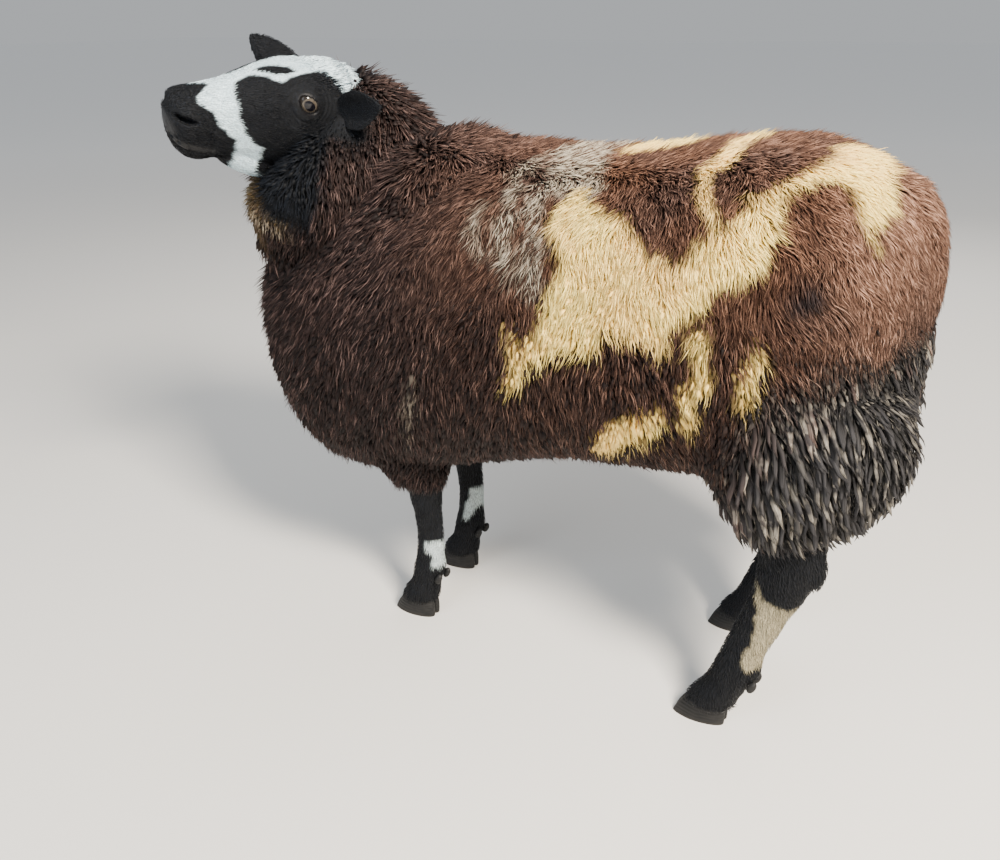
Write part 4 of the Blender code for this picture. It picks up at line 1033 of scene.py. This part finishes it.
def coat_colours():
    """Marks, tip and shade to the colour of wool and hair."""
    tree, w, given, out = group_with(
        "Coat colours", "ShaderNodeTree", (("Vector", "Wool marks, Hair marks"), ("Float", "Tip, Shade")),
        (("Color", "Color"), ("Float", "Roughness")))
    wool_marks, hair_marks = w.parts(given["Wool marks"]), w.parts(given["Hair marks"])
    place = w.place()
    broad, fine = w.noise(place, 7.0, 3.0), w.noise(place, 60.0, 2.0)
    tip = w.math("ADD", given["Tip"], w.times(w.less(given["Shade"], 0.5), SHADE_SHIFT), clamp=True)
    # A few strands at random get light tips: painted highlights on single strands among dark ones.
    bright = w.ramp(given["Shade"], 0.45, 0.85)
    # Darker towards the root: partly painted shade deep in the coat.
    low = w.ramp(tip, 0.10, 0.60)
    high = w.times(w.ramp(tip, 0.40, 1.0), w.plus(0.20, w.times(bright, 0.80)))
    where = w.parts(place)
    behind = w.times(where["X"], -1.0)
    # Lighter towards the top: painted sunlight on the back, with flanks and belly painted in shade.
    sunlit_by_height = w.plus(0.38, w.times(w.ramp(where["Z"], 0.45, 0.75), 0.62))
    # Rusty tips come in broad patches of the wool's own colour; that they grow towards the rear and the top is painted
    # sunlight.
    rust_and_sunlight = w.times(w.times(w.ramp(behind, -0.26, 0.14), sunlit_by_height), w.ramp(broad, 0.15, 0.60))
    # The rump is lighter: partly rusty wool, partly painted sunlight.
    rump = w.ramp(behind, 0.36, 0.48)
    mid, end = w.mix(rump, RUST_MID, RUMP_MID), w.mix(rump, RUST_TIP, RUMP_TIP)
    brown = w.mix(high, w.mix(low, BROWN_ROOT, w.mix(rust_and_sunlight, BROWN_MID, mid)), w.mix(rust_and_sunlight, BROWN_TIP, end))
    creamy = w.mix(w.ramp(tip, 0.0, 0.8), CREAM_ROOT, w.mix(w.ramp(broad, 0.40, 0.62), CREAM_DULL, CREAM_TIP))
    greyish = w.mix(w.ramp(given["Shade"], 0.30, 0.60), brown, w.mix(w.ramp(tip, 0.1, 0.8), GREY_ROOT, GREY_TIP))
    # Some clots get light grey-tan tips: partly dust, partly painted light on their sunlit faces.
    dust_and_lit_faces = w.times(w.ramp(fine, 0.32, 0.62), w.ramp(given["Shade"], 0.48, 1.0))
    dirty = w.mix(w.ramp(tip, 0.10, 0.70), DIRT_ROOT, w.mix(dust_and_lit_faces, DIRT_DARK, DIRT_TIP))
    blackish = w.mix(w.ramp(tip, 0.2, 1.0), BLACK_ROOT, BLACK_TIP)
    high_up = w.math("MAXIMUM", w.ramp(where["Z"], 0.30, 0.40), w.times(w.ramp(where["X"], -0.10, 0.10), 0.6))
    grown = w.ramp(tip, 0.0, 0.7)
    whitish = w.mix(grown, w.mix(high_up, WARM_ROOT, WHITE_ROOT), w.mix(high_up, WARM_TIP, WHITE_TIP))
    colour = w.mix(wool_marks["Z"], brown, dirty)
    colour = w.mix(wool_marks["Y"], colour, greyish)
    colour = w.mix(wool_marks["X"], colour, creamy)
    colour = w.mix(hair_marks["X"], colour, blackish)
    colour = w.mix(hair_marks["Y"], colour, whitish)
    colour = w.mix(hair_marks["Z"], colour, BARE_SKIN)
    w.put(out["Color"], colour)
    w.put(out["Roughness"], w.less(COAT_ROUGH, w.times(hair_marks["Z"], BARE_GLOSS)))
    return tree


colours = coat_colours()


def coloured(w, tip, shade):
    """The outputs of the coat's colours, for these places along a tuft and shades."""
    marks = {"Wool_marks": w.stored("wool_marks")["Vector"], "Hair_marks": w.stored("hair_marks")["Vector"]}
    return w.add("ShaderNodeGroup", {"node_tree": colours}, Tip=tip, Shade=shade, **marks).outputs


# %% [markdown]
# The skin's own material shows on the face, ears and legs, where hair is short and flat. Its grain is
# a bump of fine noise, the soft lumps of the flesh under it, and pores where the skin is bare. The
# tufts read the same colours from root to tip, and their shading leans towards that of the ground
# they stand on, which softens the fleece.

# %% Materials of skin and tufts
def skin_material():
    made, w, shader = new_material("short_hair")
    place = w.place()
    strokes, lumps = w.noise(place, 420.0, 3.0, Roughness=0.6), w.noise(place, 95.0, 2.0)
    pores = w.add("ShaderNodeTexVoronoi", Vector=place, Scale=520.0).outputs["Distance"]
    bare_here = w.parts(w.stored("hair_marks")["Vector"])["Z"]
    colour = coloured(w, w.times(w.ramp(strokes, 0.3, 0.75), 0.75), lumps)
    height = w.plus(w.times(strokes, 0.6), w.times(lumps, 0.9))
    height = w.plus(height, w.times(w.times(pores, bare_here), 0.5))
    w.fill(shader, Base_Color=colour["Color"], Roughness=colour["Roughness"], Normal=w.bump(height, 0.55, 0.0016),
           Specular_IOR_Level=0.22)
    return made


def tuft_material(name, roughness_drop, softness, gloss, grain=4.0, contrast=0.9):
    """Wool or hair of the tufts: the same colours, read along each tuft from root to tip."""
    made, w, shader = new_material(name)
    strand, shade = w.stored("strand")["Vector"], w.stored("shade")["Fac"]
    colour = coloured(w, w.parts(strand)["Z"], shade)
    long_grain = w.add("ShaderNodeVectorMath", {"operation": "MULTIPLY"}, _0=strand, _1=(grain, grain, 2.0)).outputs[0]
    fibres = w.noise(long_grain, 1.0, 2.0, {"noise_dimensions": "4D"}, W=w.times(shade, 90.0))
    value = w.math("MAXIMUM", w.plus(1.0, w.times(w.less(fibres, 0.5), contrast)), 0.1)
    lit = w.add("ShaderNodeHueSaturation", Color=colour["Color"], Value=value).outputs["Color"]
    soft = w.add("ShaderNodeMix", {"data_type": "VECTOR"}, _0=softness, _4=w.bump(fibres, 0.5, 0.0012),
                 _5=w.stored("ground")["Vector"]).outputs[1]
    soft = w.add("ShaderNodeVectorMath", {"operation": "NORMALIZE"}, _0=soft).outputs[0]
    w.fill(shader, Base_Color=lit, Roughness=w.less(colour["Roughness"], roughness_drop), Normal=soft,
           Specular_IOR_Level=gloss)
    return made


dressed(skin, skin_material())
fleece_look = tuft_material("fleece", 0.22, 0.30, 0.14)
clotted_look = tuft_material("clotted_fleece", 0.12, 0.15, 0.12, 5.0, 3.4)
hair_look = tuft_material("short_hair_tufts", 0.40, 0.35, 0.20)

# %% [markdown]
# A tuft is a slim spindle: one point sunk in the skin, one or two rings of three, and a bent tip. It
# is closed and has only 6 to 12 faces, because there are almost two hundred thousand of them. The
# few clotted locks are thicker, with three rings of five. A few variants with different curls are
# enough, since each copy is turned and sized at random.

# %% Tufts
def tuft(name, rings, sides, bend, crimp, tone, seed):
    """A closed spindle one unit long: rings of (height, radius) between a root and a tip.

    Its colour runs from the root's to this share (tone) of the way to the tip's."""
    draw = random.Random(seed)
    turn, swerve = draw.uniform(0, 6.28), draw.uniform(-0.5, 0.5) * crimp
    points, strands = [(0.0, 0.0, -0.08)], [(0.0, 0.0, 0.0)]
    for step, (height, radius) in enumerate(rings):
        wave = crimp * (1 if step % 2 else -1) * draw.uniform(0.7, 1.2)
        x, y = bend * height * height + wave, swerve * height + wave * 0.4
        for k in range(sides):
            angle = 2 * math.pi * k / sides + turn
            wide = radius * (draw.uniform(0.6, 1.35) if sides > 3 else 1.0)
            points.append((x + math.cos(angle) * wide, y + math.sin(angle) * wide, height))
            strands.append((math.cos(angle), math.sin(angle), height * tone))
    points.append((bend + crimp * draw.uniform(-0.6, 1.2), swerve, 1.0))
    strands.append((0.0, 0.0, tone))
    last = len(points) - 1
    faces = []
    for k in range(sides):
        after = (k + 1) % sides
        faces.append((0, 1 + after, 1 + k))
        faces.append((last, 1 + (len(rings) - 1) * sides + k, 1 + (len(rings) - 1) * sides + after))
        for r in range(len(rings) - 1):
            a, b = 1 + r * sides + k, 1 + r * sides + after
            faces += [(a, b, b + sides), (a, b + sides, a + sides)]
    made = mesh_object(name, points, faces)
    rounded(made)
    give(made.data, "strand", "FLOAT_VECTOR", strands)
    give(made.data, "patch", "FLOAT_VECTOR", [(0.5 * x, z - 0.5, 0.0) for x, y, z in strands])
    return made


def tuft_family(name, count, rings, sides, bend, crimp, tone=1.0):
    group = bpy.data.collections.new(name)
    bpy.context.scene.collection.children.link(group)
    for k in range(count):
        made = tuft(f"{name}_{k}", rings, sides, bend, crimp, tone, k + 1)
        bpy.context.scene.collection.objects.unlink(made)
        group.objects.link(made)
    return group


families = {
    "under": tuft_family("under_tufts", 4, ((0.60, 0.16),), 3, 0.05, 0.060, 0.45),
    "plush": tuft_family("plush_tufts", 6, ((0.55, 0.025),), 3, 0.16, 0.060),
    "lock": tuft_family("lock_tufts", 8, ((0.34, 0.017), (0.70, 0.017)), 3, 0.20, 0.055),
    "matted": tuft_family("matted_tufts", 9, ((0.25, 0.060), (0.52, 0.078), (0.78, 0.050)), 5, 0.18, 0.035),
    "hair": tuft_family("hair_tufts", 4, ((0.40, 0.075),), 3, 0.10, 0.03),
}

# %% [markdown]
# Geometry Nodes plant the tufts. Points are scattered evenly over a region of the skin; each tuft
# stands on the normal, leans along the lie and is drawn towards the middle of its lock, which comes
# from a cell pattern. That pull is what turns single spikes into wool.

# %% The planting tree
PATCH_SIZE = 0.003               # how much of the map each tuft takes up


def planting_tree():
    sockets = (("Geometry", "Skin"), ("Collection", "Tufts"), ("Material", "Finish"), ("String", "Where"),
               ("Float", "Spacing, Density, Length, Width, Lean, Lock size, Gather, Loose, Swing, Thickness"),
               ("Int", "Seed"))
    tree, w, given, out = group_with("Plant tufts", "GeometryNodeTree", sockets, (("Geometry", "Coat"),))

    def named(name, kind="FLOAT"):
        return w.add("GeometryNodeInputNamedAttribute", {"data_type": kind}, Name=name).outputs["Attribute"]

    def store(geometry, name, kind, domain, value):
        settings = {"data_type": kind, "domain": domain}
        return w.add("GeometryNodeStoreNamedAttribute", settings, Geometry=geometry, Name=name, Value=value).outputs[0]

    def vector(operation, a, b=None, scale=None):
        node = w.add("ShaderNodeVectorMath", {"operation": operation}, _0=a)
        if b is not None:
            w.put(node.inputs[1], b)
        if scale is not None:
            w.put(node.inputs["Scale"], scale)
        return node.outputs["Vector"]

    def chance(low, high, seed, kind="FLOAT"):
        """A random value for each tuft. The node's sockets differ by the kind of value."""
        node = w.add("FunctionNodeRandomValue", {"data_type": kind}, Seed=w.plus(given["Seed"], seed))
        first, result = {"FLOAT_VECTOR": (0, 0), "FLOAT": (2, 1)}[kind]
        w.put(node.inputs[first], low)
        w.put(node.inputs[first + 1], high)
        return node.outputs[result]

    scatter = w.add("GeometryNodeDistributePointsOnFaces", {"distribute_method": "POISSON"}, Mesh=given["Skin"],
                    Seed=given["Seed"], Distance_Min=given["Spacing"], Density_Max=given["Density"],
                    Density_Factor=named(given["Where"])).outputs
    length = w.times(w.times(named("coat_length"), given["Length"]), chance(0.72, 1.12, 11.0))
    here = w.add("GeometryNodeInputPosition").outputs["Position"]
    in_locks = vector("SCALE", here, scale=w.math("DIVIDE", 1.0, given["Lock size"]))
    cells = w.add("ShaderNodeTexVoronoi", Vector=in_locks, Scale=1.0).outputs
    centre = vector("SCALE", cells["Position"], scale=given["Lock size"])
    pull = vector("SCALE", vector("SUBTRACT", centre, here), scale=w.math("DIVIDE", given["Gather"], length))
    slope = w.times(named("coat_lean"), given["Lean"])
    stray = chance((-1.0, -1.0, -1.0), (1.0, 1.0, 1.0), 5.0, "FLOAT_VECTOR")
    along_coat = named("lie", "FLOAT_VECTOR")
    aim = vector("ADD", scatter["Normal"], vector("SCALE", along_coat, scale=slope))
    aim = vector("ADD", vector("ADD", aim, pull), vector("SCALE", stray, scale=given["Loose"]))
    stand = w.add("FunctionNodeAlignRotationToVector", {"axis": "Z"}, Vector=aim).outputs[0]
    face = w.add("FunctionNodeAlignRotationToVector", {"axis": "X", "pivot_axis": "Z"}, Rotation=stand,
                 Vector=along_coat).outputs[0]
    of_lock = w.parts(cells["Color"])
    swing = w.plus(w.times(w.less(of_lock["Y"], 0.5), given["Swing"]), chance(-0.35, 0.35, 7.0))
    spin = w.add("FunctionNodeAxisAngleToRotation", Axis=(0.0, 0.0, 1.0), Angle=swing).outputs[0]
    turned = w.add("FunctionNodeRotateRotation", {"rotation_space": "LOCAL"}, Rotation=face, Rotate_By=spin).outputs[0]
    wide = w.times(w.times(length, given["Width"]), chance(0.75, 1.25, 3.0))
    size = w.add("ShaderNodeCombineXYZ", X=w.times(wide, given["Thickness"]), Y=wide, Z=length).outputs[0]
    shade = w.plus(w.times(of_lock["X"], 0.3), w.times(chance(0.0, 1.0, 2.0), 0.7))
    marked = store(scatter["Points"], "shade", "FLOAT", "POINT", shade)
    marked = store(marked, "ground", "FLOAT_VECTOR", "POINT", scatter["Normal"])
    family = w.add("GeometryNodeCollectionInfo", Collection=given["Tufts"], Separate_Children=True, Reset_Children=True)
    planted = w.add("GeometryNodeInstanceOnPoints", Points=marked, Instance=family.outputs[0], Pick_Instance=True,
                    Instance_Index=w.math("FLOOR", w.times(of_lock["Z"], 40.0)), Rotation=turned, Scale=size)
    grown = w.add("GeometryNodeRealizeInstances", Geometry=planted.outputs[0]).outputs[0]
    patch = vector("SCALE", named("patch", "FLOAT_VECTOR"), scale=PATCH_SIZE)
    mapped = store(grown, "OFBake", "FLOAT2", "CORNER", vector("ADD", named("skin_unwrap", "FLOAT_VECTOR"), patch))
    finished = w.add("GeometryNodeSetMaterial", Geometry=mapped, Material=given["Finish"])
    w.put(out["Coat"], finished.outputs[0])
    return tree


planting = planting_tree()

# %% [markdown]
# A region is a piece of the skin with its own unwrap, so that every tuft gets a small place of its
# own on the map. Regions are bands from nose to tail of about equal area, which also keeps each coat
# piece to a size that other programs can handle.

# %% Regions of the skin
face_centres, face_areas = read(skin.data.polygons, "center", 3), read(skin.data.polygons, "area")
first_corner = read(skin.data.polygons, "loop_start", kind=int)
first_point = read(skin.data.loops, "vertex_index", kind=int)[first_corner]


def region(name, chosen):
    """A copy of some of the skin's faces with their marks and an unwrap named skin_unwrap."""
    shape = bmesh.new()
    shape.from_mesh(skin.data)
    shape.faces.ensure_lookup_table()
    bmesh.ops.delete(shape, geom=[shape.faces[i] for i in np.flatnonzero(~chosen)], context="FACES")
    mesh = bpy.data.meshes.new(name)
    shape.to_mesh(mesh)
    shape.free()
    made = added(name, mesh)
    mesh.uv_layers.new(name="skin_unwrap")
    bpy.ops.object.select_all(action="DESELECT")
    made.select_set(True)
    bpy.context.view_layer.objects.active = made
    bpy.ops.object.mode_set(mode="EDIT")
    bpy.ops.mesh.select_all(action="SELECT")
    bpy.ops.uv.smart_project(angle_limit=math.radians(75), island_margin=0.004)
    bpy.ops.object.mode_set(mode="OBJECT")
    return made


def planted(name, chosen, family, finish, **sizes):
    """Plants one coat piece on the chosen faces and returns it as a plain mesh."""
    ground = region(name, chosen)
    work = ground.modifiers.new("plant", "NODES")
    work.node_group = planting
    values = {"Tufts": families[family], "Finish": finish, "Swing": 2.4, "Thickness": 1.0,
              **{key.replace("_", " "): value for key, value in sizes.items()}}
    for item in planting.interface.items_tree:
        if item.in_out == "INPUT" and item.name in values:
            work[item.identifier] = values[item.name]
    graph = bpy.context.evaluated_depsgraph_get()
    graph.update()
    mesh = bpy.data.meshes.new_from_object(ground.evaluated_get(graph))
    drop([ground])
    for extra in ("lie", "coat_length", "coat_lean", *SHARES, "patch", "skin_unwrap"):
        if extra in mesh.attributes:
            mesh.attributes.remove(mesh.attributes[extra])
    mesh.name = name
    made = added(name, mesh)
    mesh.calc_loop_triangles()
    print(name, round(float(face_areas[chosen].sum()), 3), "m2,", len(mesh.loop_triangles), "triangles")
    return made


# %% [markdown]
# The fleece is planted in bands. On the back it is plush, gathered into locks of less than a
# centimetre. Down the sides and on the neck the locks are larger and hang in waves, and an under wool
# of short, broad tufts closes the gaps between them.

# %% Fleece
order = np.argsort(face_centres[:, 0])


def bands(share, count):
    """Splits the faces that carry a kind of coat into bands of about equal covered area."""
    weights = (face_areas * share[first_point])[order]
    so_far = np.cumsum(weights) / weights.sum()
    found = []
    for band in range(count):
        chosen = np.zeros(len(face_areas), bool)
        chosen[order[(weights > 0) & (so_far > band / count) & (so_far <= (band + 1) / count)]] = True
        found.append(chosen)
    return found


FLEECE = (                       # tufts, where they grow, how many bands, first seed, sizes
    ("under", "lock_share", 2, 21, {"Spacing": 0.0048, "Density": 46000.0, "Length": 0.62, "Width": 1.0,
                                    "Lean": 0.8, "Lock_size": 0.0100, "Gather": 0.15, "Loose": 0.20}),
    ("plush", "plush_share", 4, 1, {"Spacing": 0.0014, "Density": 500000.0, "Length": 1.05, "Width": 0.85,
                                    "Lean": 2.1, "Lock_size": 0.0085, "Gather": 0.24, "Loose": 0.30}),
    ("lock", "lock_share", 4, 11, {"Spacing": 0.0028, "Density": 140000.0, "Length": 1.10, "Width": 0.85,
                                   "Lean": 1.6, "Lock_size": 0.0130, "Gather": 0.60, "Loose": 0.24}))
coats = []
for word, where, count, seed, sizes in FLEECE:
    for k, chosen in enumerate(bands(SHARES[where], count)):
        coats.append(planted(f"{word}_band_{k + 1}", chosen, word, fleece_look, Where=where, Seed=seed + k, **sizes))

# %% [markdown]
# Low on the thighs the wool is clotted into flat, pointed locks. These are planted over the fleece
# there, larger and closer to the body.

# %% Clotted locks on the thighs
coats.append(planted("clotted_locks", dirt_share[first_point] > 0.05, "matted", clotted_look, Where="dirt_share",
                     Spacing=0.0072, Density=19000.0, Length=1.95, Width=1.0, Lean=2.3, Lock_size=0.03, Gather=0.20,
                     Loose=0.50, Swing=1.4, Thickness=0.60, Seed=31))

# %% [markdown]
# Hair on the face, ears and legs is a few millimetres long and lies flat, so the bump carries most of
# it. Small tufts over it break the outline and catch the light.

# %% Short hair
haired, of_head = hair_share[first_point] > 0.02, on_head[first_point]
hair_sizes = {"Length": 1.0, "Width": 1.0, "Lean": 1.0, "Lock_size": 0.008, "Gather": 0.2, "Loose": 0.14}
for name, chosen, spacing, density, seed in (("face_hair", haired & of_head, 0.0018, 300000.0, 41),
                                             ("leg_hair", haired & ~of_head, 0.0026, 150000.0, 42)):
    coats.append(planted(name, chosen, "hair", hair_look, Where="hair_share", Spacing=spacing, Density=density,
                         Seed=seed, **hair_sizes))

# %% [markdown]
# In this light the ram's eye is dark: a brown iris round a wide, black pupil that is a little longer
# along the slit of the lids. The eyeball is a fine sphere with a bulging cornea, and each point knows
# its place in the eye's frame, so the iris is drawn by rings and rays round the pupil.

# %% Eyes
IRIS, PUPIL = 0.0104, (0.0088, 0.0066)
CORNEA, CORNEA_REACH, EYE_LONGER = 0.0011, 0.0085, 1.16


def eyeball(word, side):
    frame_here = eye_frame(side)
    rings, chart_rows = [], []
    for step in range(1, 40):
        polar = math.radians(min(4.0 * step, 158.0 + 0.1 * step))
        wide, out_by = EYE_RADIUS * math.sin(polar), EYE_RADIUS * math.cos(polar)
        bulge = CORNEA * math.exp(-(wide / CORNEA_REACH) ** 2) if polar < 1.2 else 0.0
        ring = []
        for k in range(48):
            turn = 2 * math.pi * k / 48
            across = math.cos(turn) * wide * EYE_LONGER
            ring.append(frame_here @ Vector((across, math.sin(turn) * wide, out_by + bulge)))
            chart_rows.append((across, math.sin(turn) * wide, 1.0 if polar < math.pi / 2 else 0.0))
        rings.append(ring)
    made = loft("eye_" + word + "_ball", rings)
    give(made.data, "eye_place", "FLOAT_VECTOR", chart_rows)
    rounded(made)
    return made


def eye_material():
    made, w, shader = new_material("eye")
    place = w.stored("eye_place")["Vector"]

    def from_middle(across, high):
        """Distance from the eye's axis in units that may differ across and up."""
        squares = [w.math("POWER", w.math("DIVIDE", w.parts(place)[axis], unit), 2.0)
                   for axis, unit in (("X", across), ("Y", high))]
        return w.math("SQRT", w.plus(*squares))

    reach, slot = from_middle(1.0, 1.0), from_middle(*PUPIL)
    rays = w.noise(place, 900.0, 2.0, Roughness=0.7)
    iris = w.mix(w.ramp(rays, 0.35, 0.65), (0.035, 0.027, 0.020, 1), (0.085, 0.070, 0.055, 1))
    iris = w.mix(w.ramp(reach, 0.0088, 0.0100), iris, (0.060, 0.053, 0.044, 1))
    ball_colour = w.mix(w.ramp(reach, IRIS - 0.0002, IRIS + 0.0010), iris, (0.014, 0.012, 0.011, 1))
    colour = w.mix(w.ramp(slot, 0.94, 1.10), (0.004, 0.004, 0.006, 1), ball_colour)
    w.fill(shader, Base_Color=colour, Roughness=0.06, Specular_IOR_Level=0.25, Coat_Weight=0.15, Coat_Roughness=0.02)
    return made


eye_look = eye_material()
eyes = []
for word, side in (("left", 1), ("right", -1)):
    eye = eyeball(word, side)
    dressed(eye, eye_look)
    eyes.append((eye, "eye_" + word))

# %% [markdown]
# Claws are dark horn with growth rings and a worn, paler edge at the ground. Each foot has two, with
# a flat inner wall, and two small dewclaws behind the fetlock.

# %% Claws
CLAW_LENGTH, CLAW_WIDTH, CLAW_HEIGHT = 0.076, 0.028, 0.038
CLAW_ROWS = (                    # share of the height, of length and width, how far it sits back
    (0.00, 0.97, 0.95, 0.000), (0.05, 1.00, 1.00, 0.000), (0.45, 0.90, 0.98, 0.004), (0.90, 0.68, 0.87, 0.009),
    (1.00, 0.58, 0.76, 0.010))
INNER_WALL, HALF_CLEFT = 0.42, 0.0012
DEW_BACK = {"fore": -0.052, "hind": -0.074}
DEW_ASIDE, DEW_HEIGHT, DEW_TURN, DEW_SIZE = 0.013, 0.078, -25, (0.0060, 0.0052, 0.0105)


def claw(name, foot, side):
    rings = []
    for height, length, width, back in along(CLAW_ROWS, 22):
        ring = []
        for k in range(40):
            angle = 2 * math.pi * k / 40
            x = math.cos(angle) * CLAW_LENGTH / 2 * length - back
            narrower = 1.0 - 0.30 * max(math.cos(angle), 0.0) ** 2
            y = max(math.sin(angle), -INNER_WALL) * CLAW_WIDTH / 2 * width * narrower
            y = side * (y + CLAW_WIDTH / 2 * INNER_WALL + HALF_CLEFT)
            ring.append(Vector((foot[0] + x, foot[1] + y, height * CLAW_HEIGHT)))
        rings.append(ring)
    made = loft(name, rings)
    for face in made.data.polygons:
        face.use_smooth = len(face.vertices) == 4
    return made


def horn_material():
    made, w, shader = new_material("horn")
    place = w.place()
    noise = w.noise(place, 70.0, 4.0)
    growth = w.add("ShaderNodeTexWave", {"bands_direction": "Z"}, Vector=place, Scale=62.0, Distortion=2.2,
                   Detail=2.0).outputs["Fac"]
    at_ground = w.ramp(w.less(0.006, w.parts(place)["Z"]), 0.0, 0.006)
    colour = w.mix(w.ramp(noise, 0.35, 0.70), (0.0045, 0.0048, 0.0055, 1), (0.013, 0.0125, 0.0125, 1))
    colour = w.mix(w.times(w.ramp(growth, 0.3, 0.9), 0.35), colour, (0.009, 0.0085, 0.008, 1))
    colour = w.mix(w.times(at_ground, 0.5), colour, (0.030, 0.026, 0.021, 1))
    w.fill(shader, Base_Color=colour, Roughness=w.plus(0.42, w.times(noise, 0.3)), Specular_IOR_Level=0.25,
           Normal=w.bump(w.plus(growth, w.times(noise, 1.4)), 0.5, 0.0008))
    return made


horn_look = horn_material()
claws = []
for foot, at in FEET.items():
    for word, side in (("left", 1), ("right", -1)):
        made = claw(f"horn_{foot}_{word}", at, side)
        dressed(made, horn_look)
        claws.append((made, f"claw_{foot}_{word}"))
dew_pieces = []
for foot, (x, y) in FEET.items():
    for side in (1, -1):
        place = Matrix.Translation((x + DEW_BACK[foot[:4]], y + side * DEW_ASIDE, DEW_HEIGHT))
        place = place @ Matrix.Rotation(math.radians(DEW_TURN), 4, "Y")
        dew_pieces.append(ball("dewclaw", place @ Matrix.Diagonal((*DEW_SIZE, 1.0)), 3))
dewclaws = melted("dewclaws", dew_pieces, 0.0010, 1)
dressed(dewclaws, horn_look)

# %% [markdown]
# All of this was made in the tables' own frame. Now every piece moves to the model's origin, rides on
# its body and takes the place of the solids that it dresses.

# %% Hand over to the frame
FLESH = ["head", "ear_left", "ear_right", "neck", "torso_front", "torso_middle", "torso_rear", "tail",
         "thigh_left", "thigh_right", "forearm_left", "forearm_right", "foreleg_left", "foreleg_right",
         "hindleg_left", "hindleg_right"]
to_origin = Matrix.Translation((-BODY_MIDDLE[0], -BODY_MIDDLE[1], 0.0))
for piece in [skin, dewclaws, *coats, *[made for made, _ in eyes + claws]]:
    piece.data.transform(to_origin)
    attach(piece, "root")
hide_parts(*FLESH)
for made, node in eyes:
    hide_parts(node)
for made, node in claws:
    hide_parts(node)
for group in families.values():
    drop(list(group.objects))
    bpy.data.collections.remove(group)

total = 0
for piece in bpy.data.objects:
    if piece.type == "MESH" and not piece.hide_render:
        piece.data.calc_loop_triangles()
        total += len(piece.data.loop_triangles)
print("whole model", total, "triangles")

# %% Finish
bpy.context.view_layer.update()
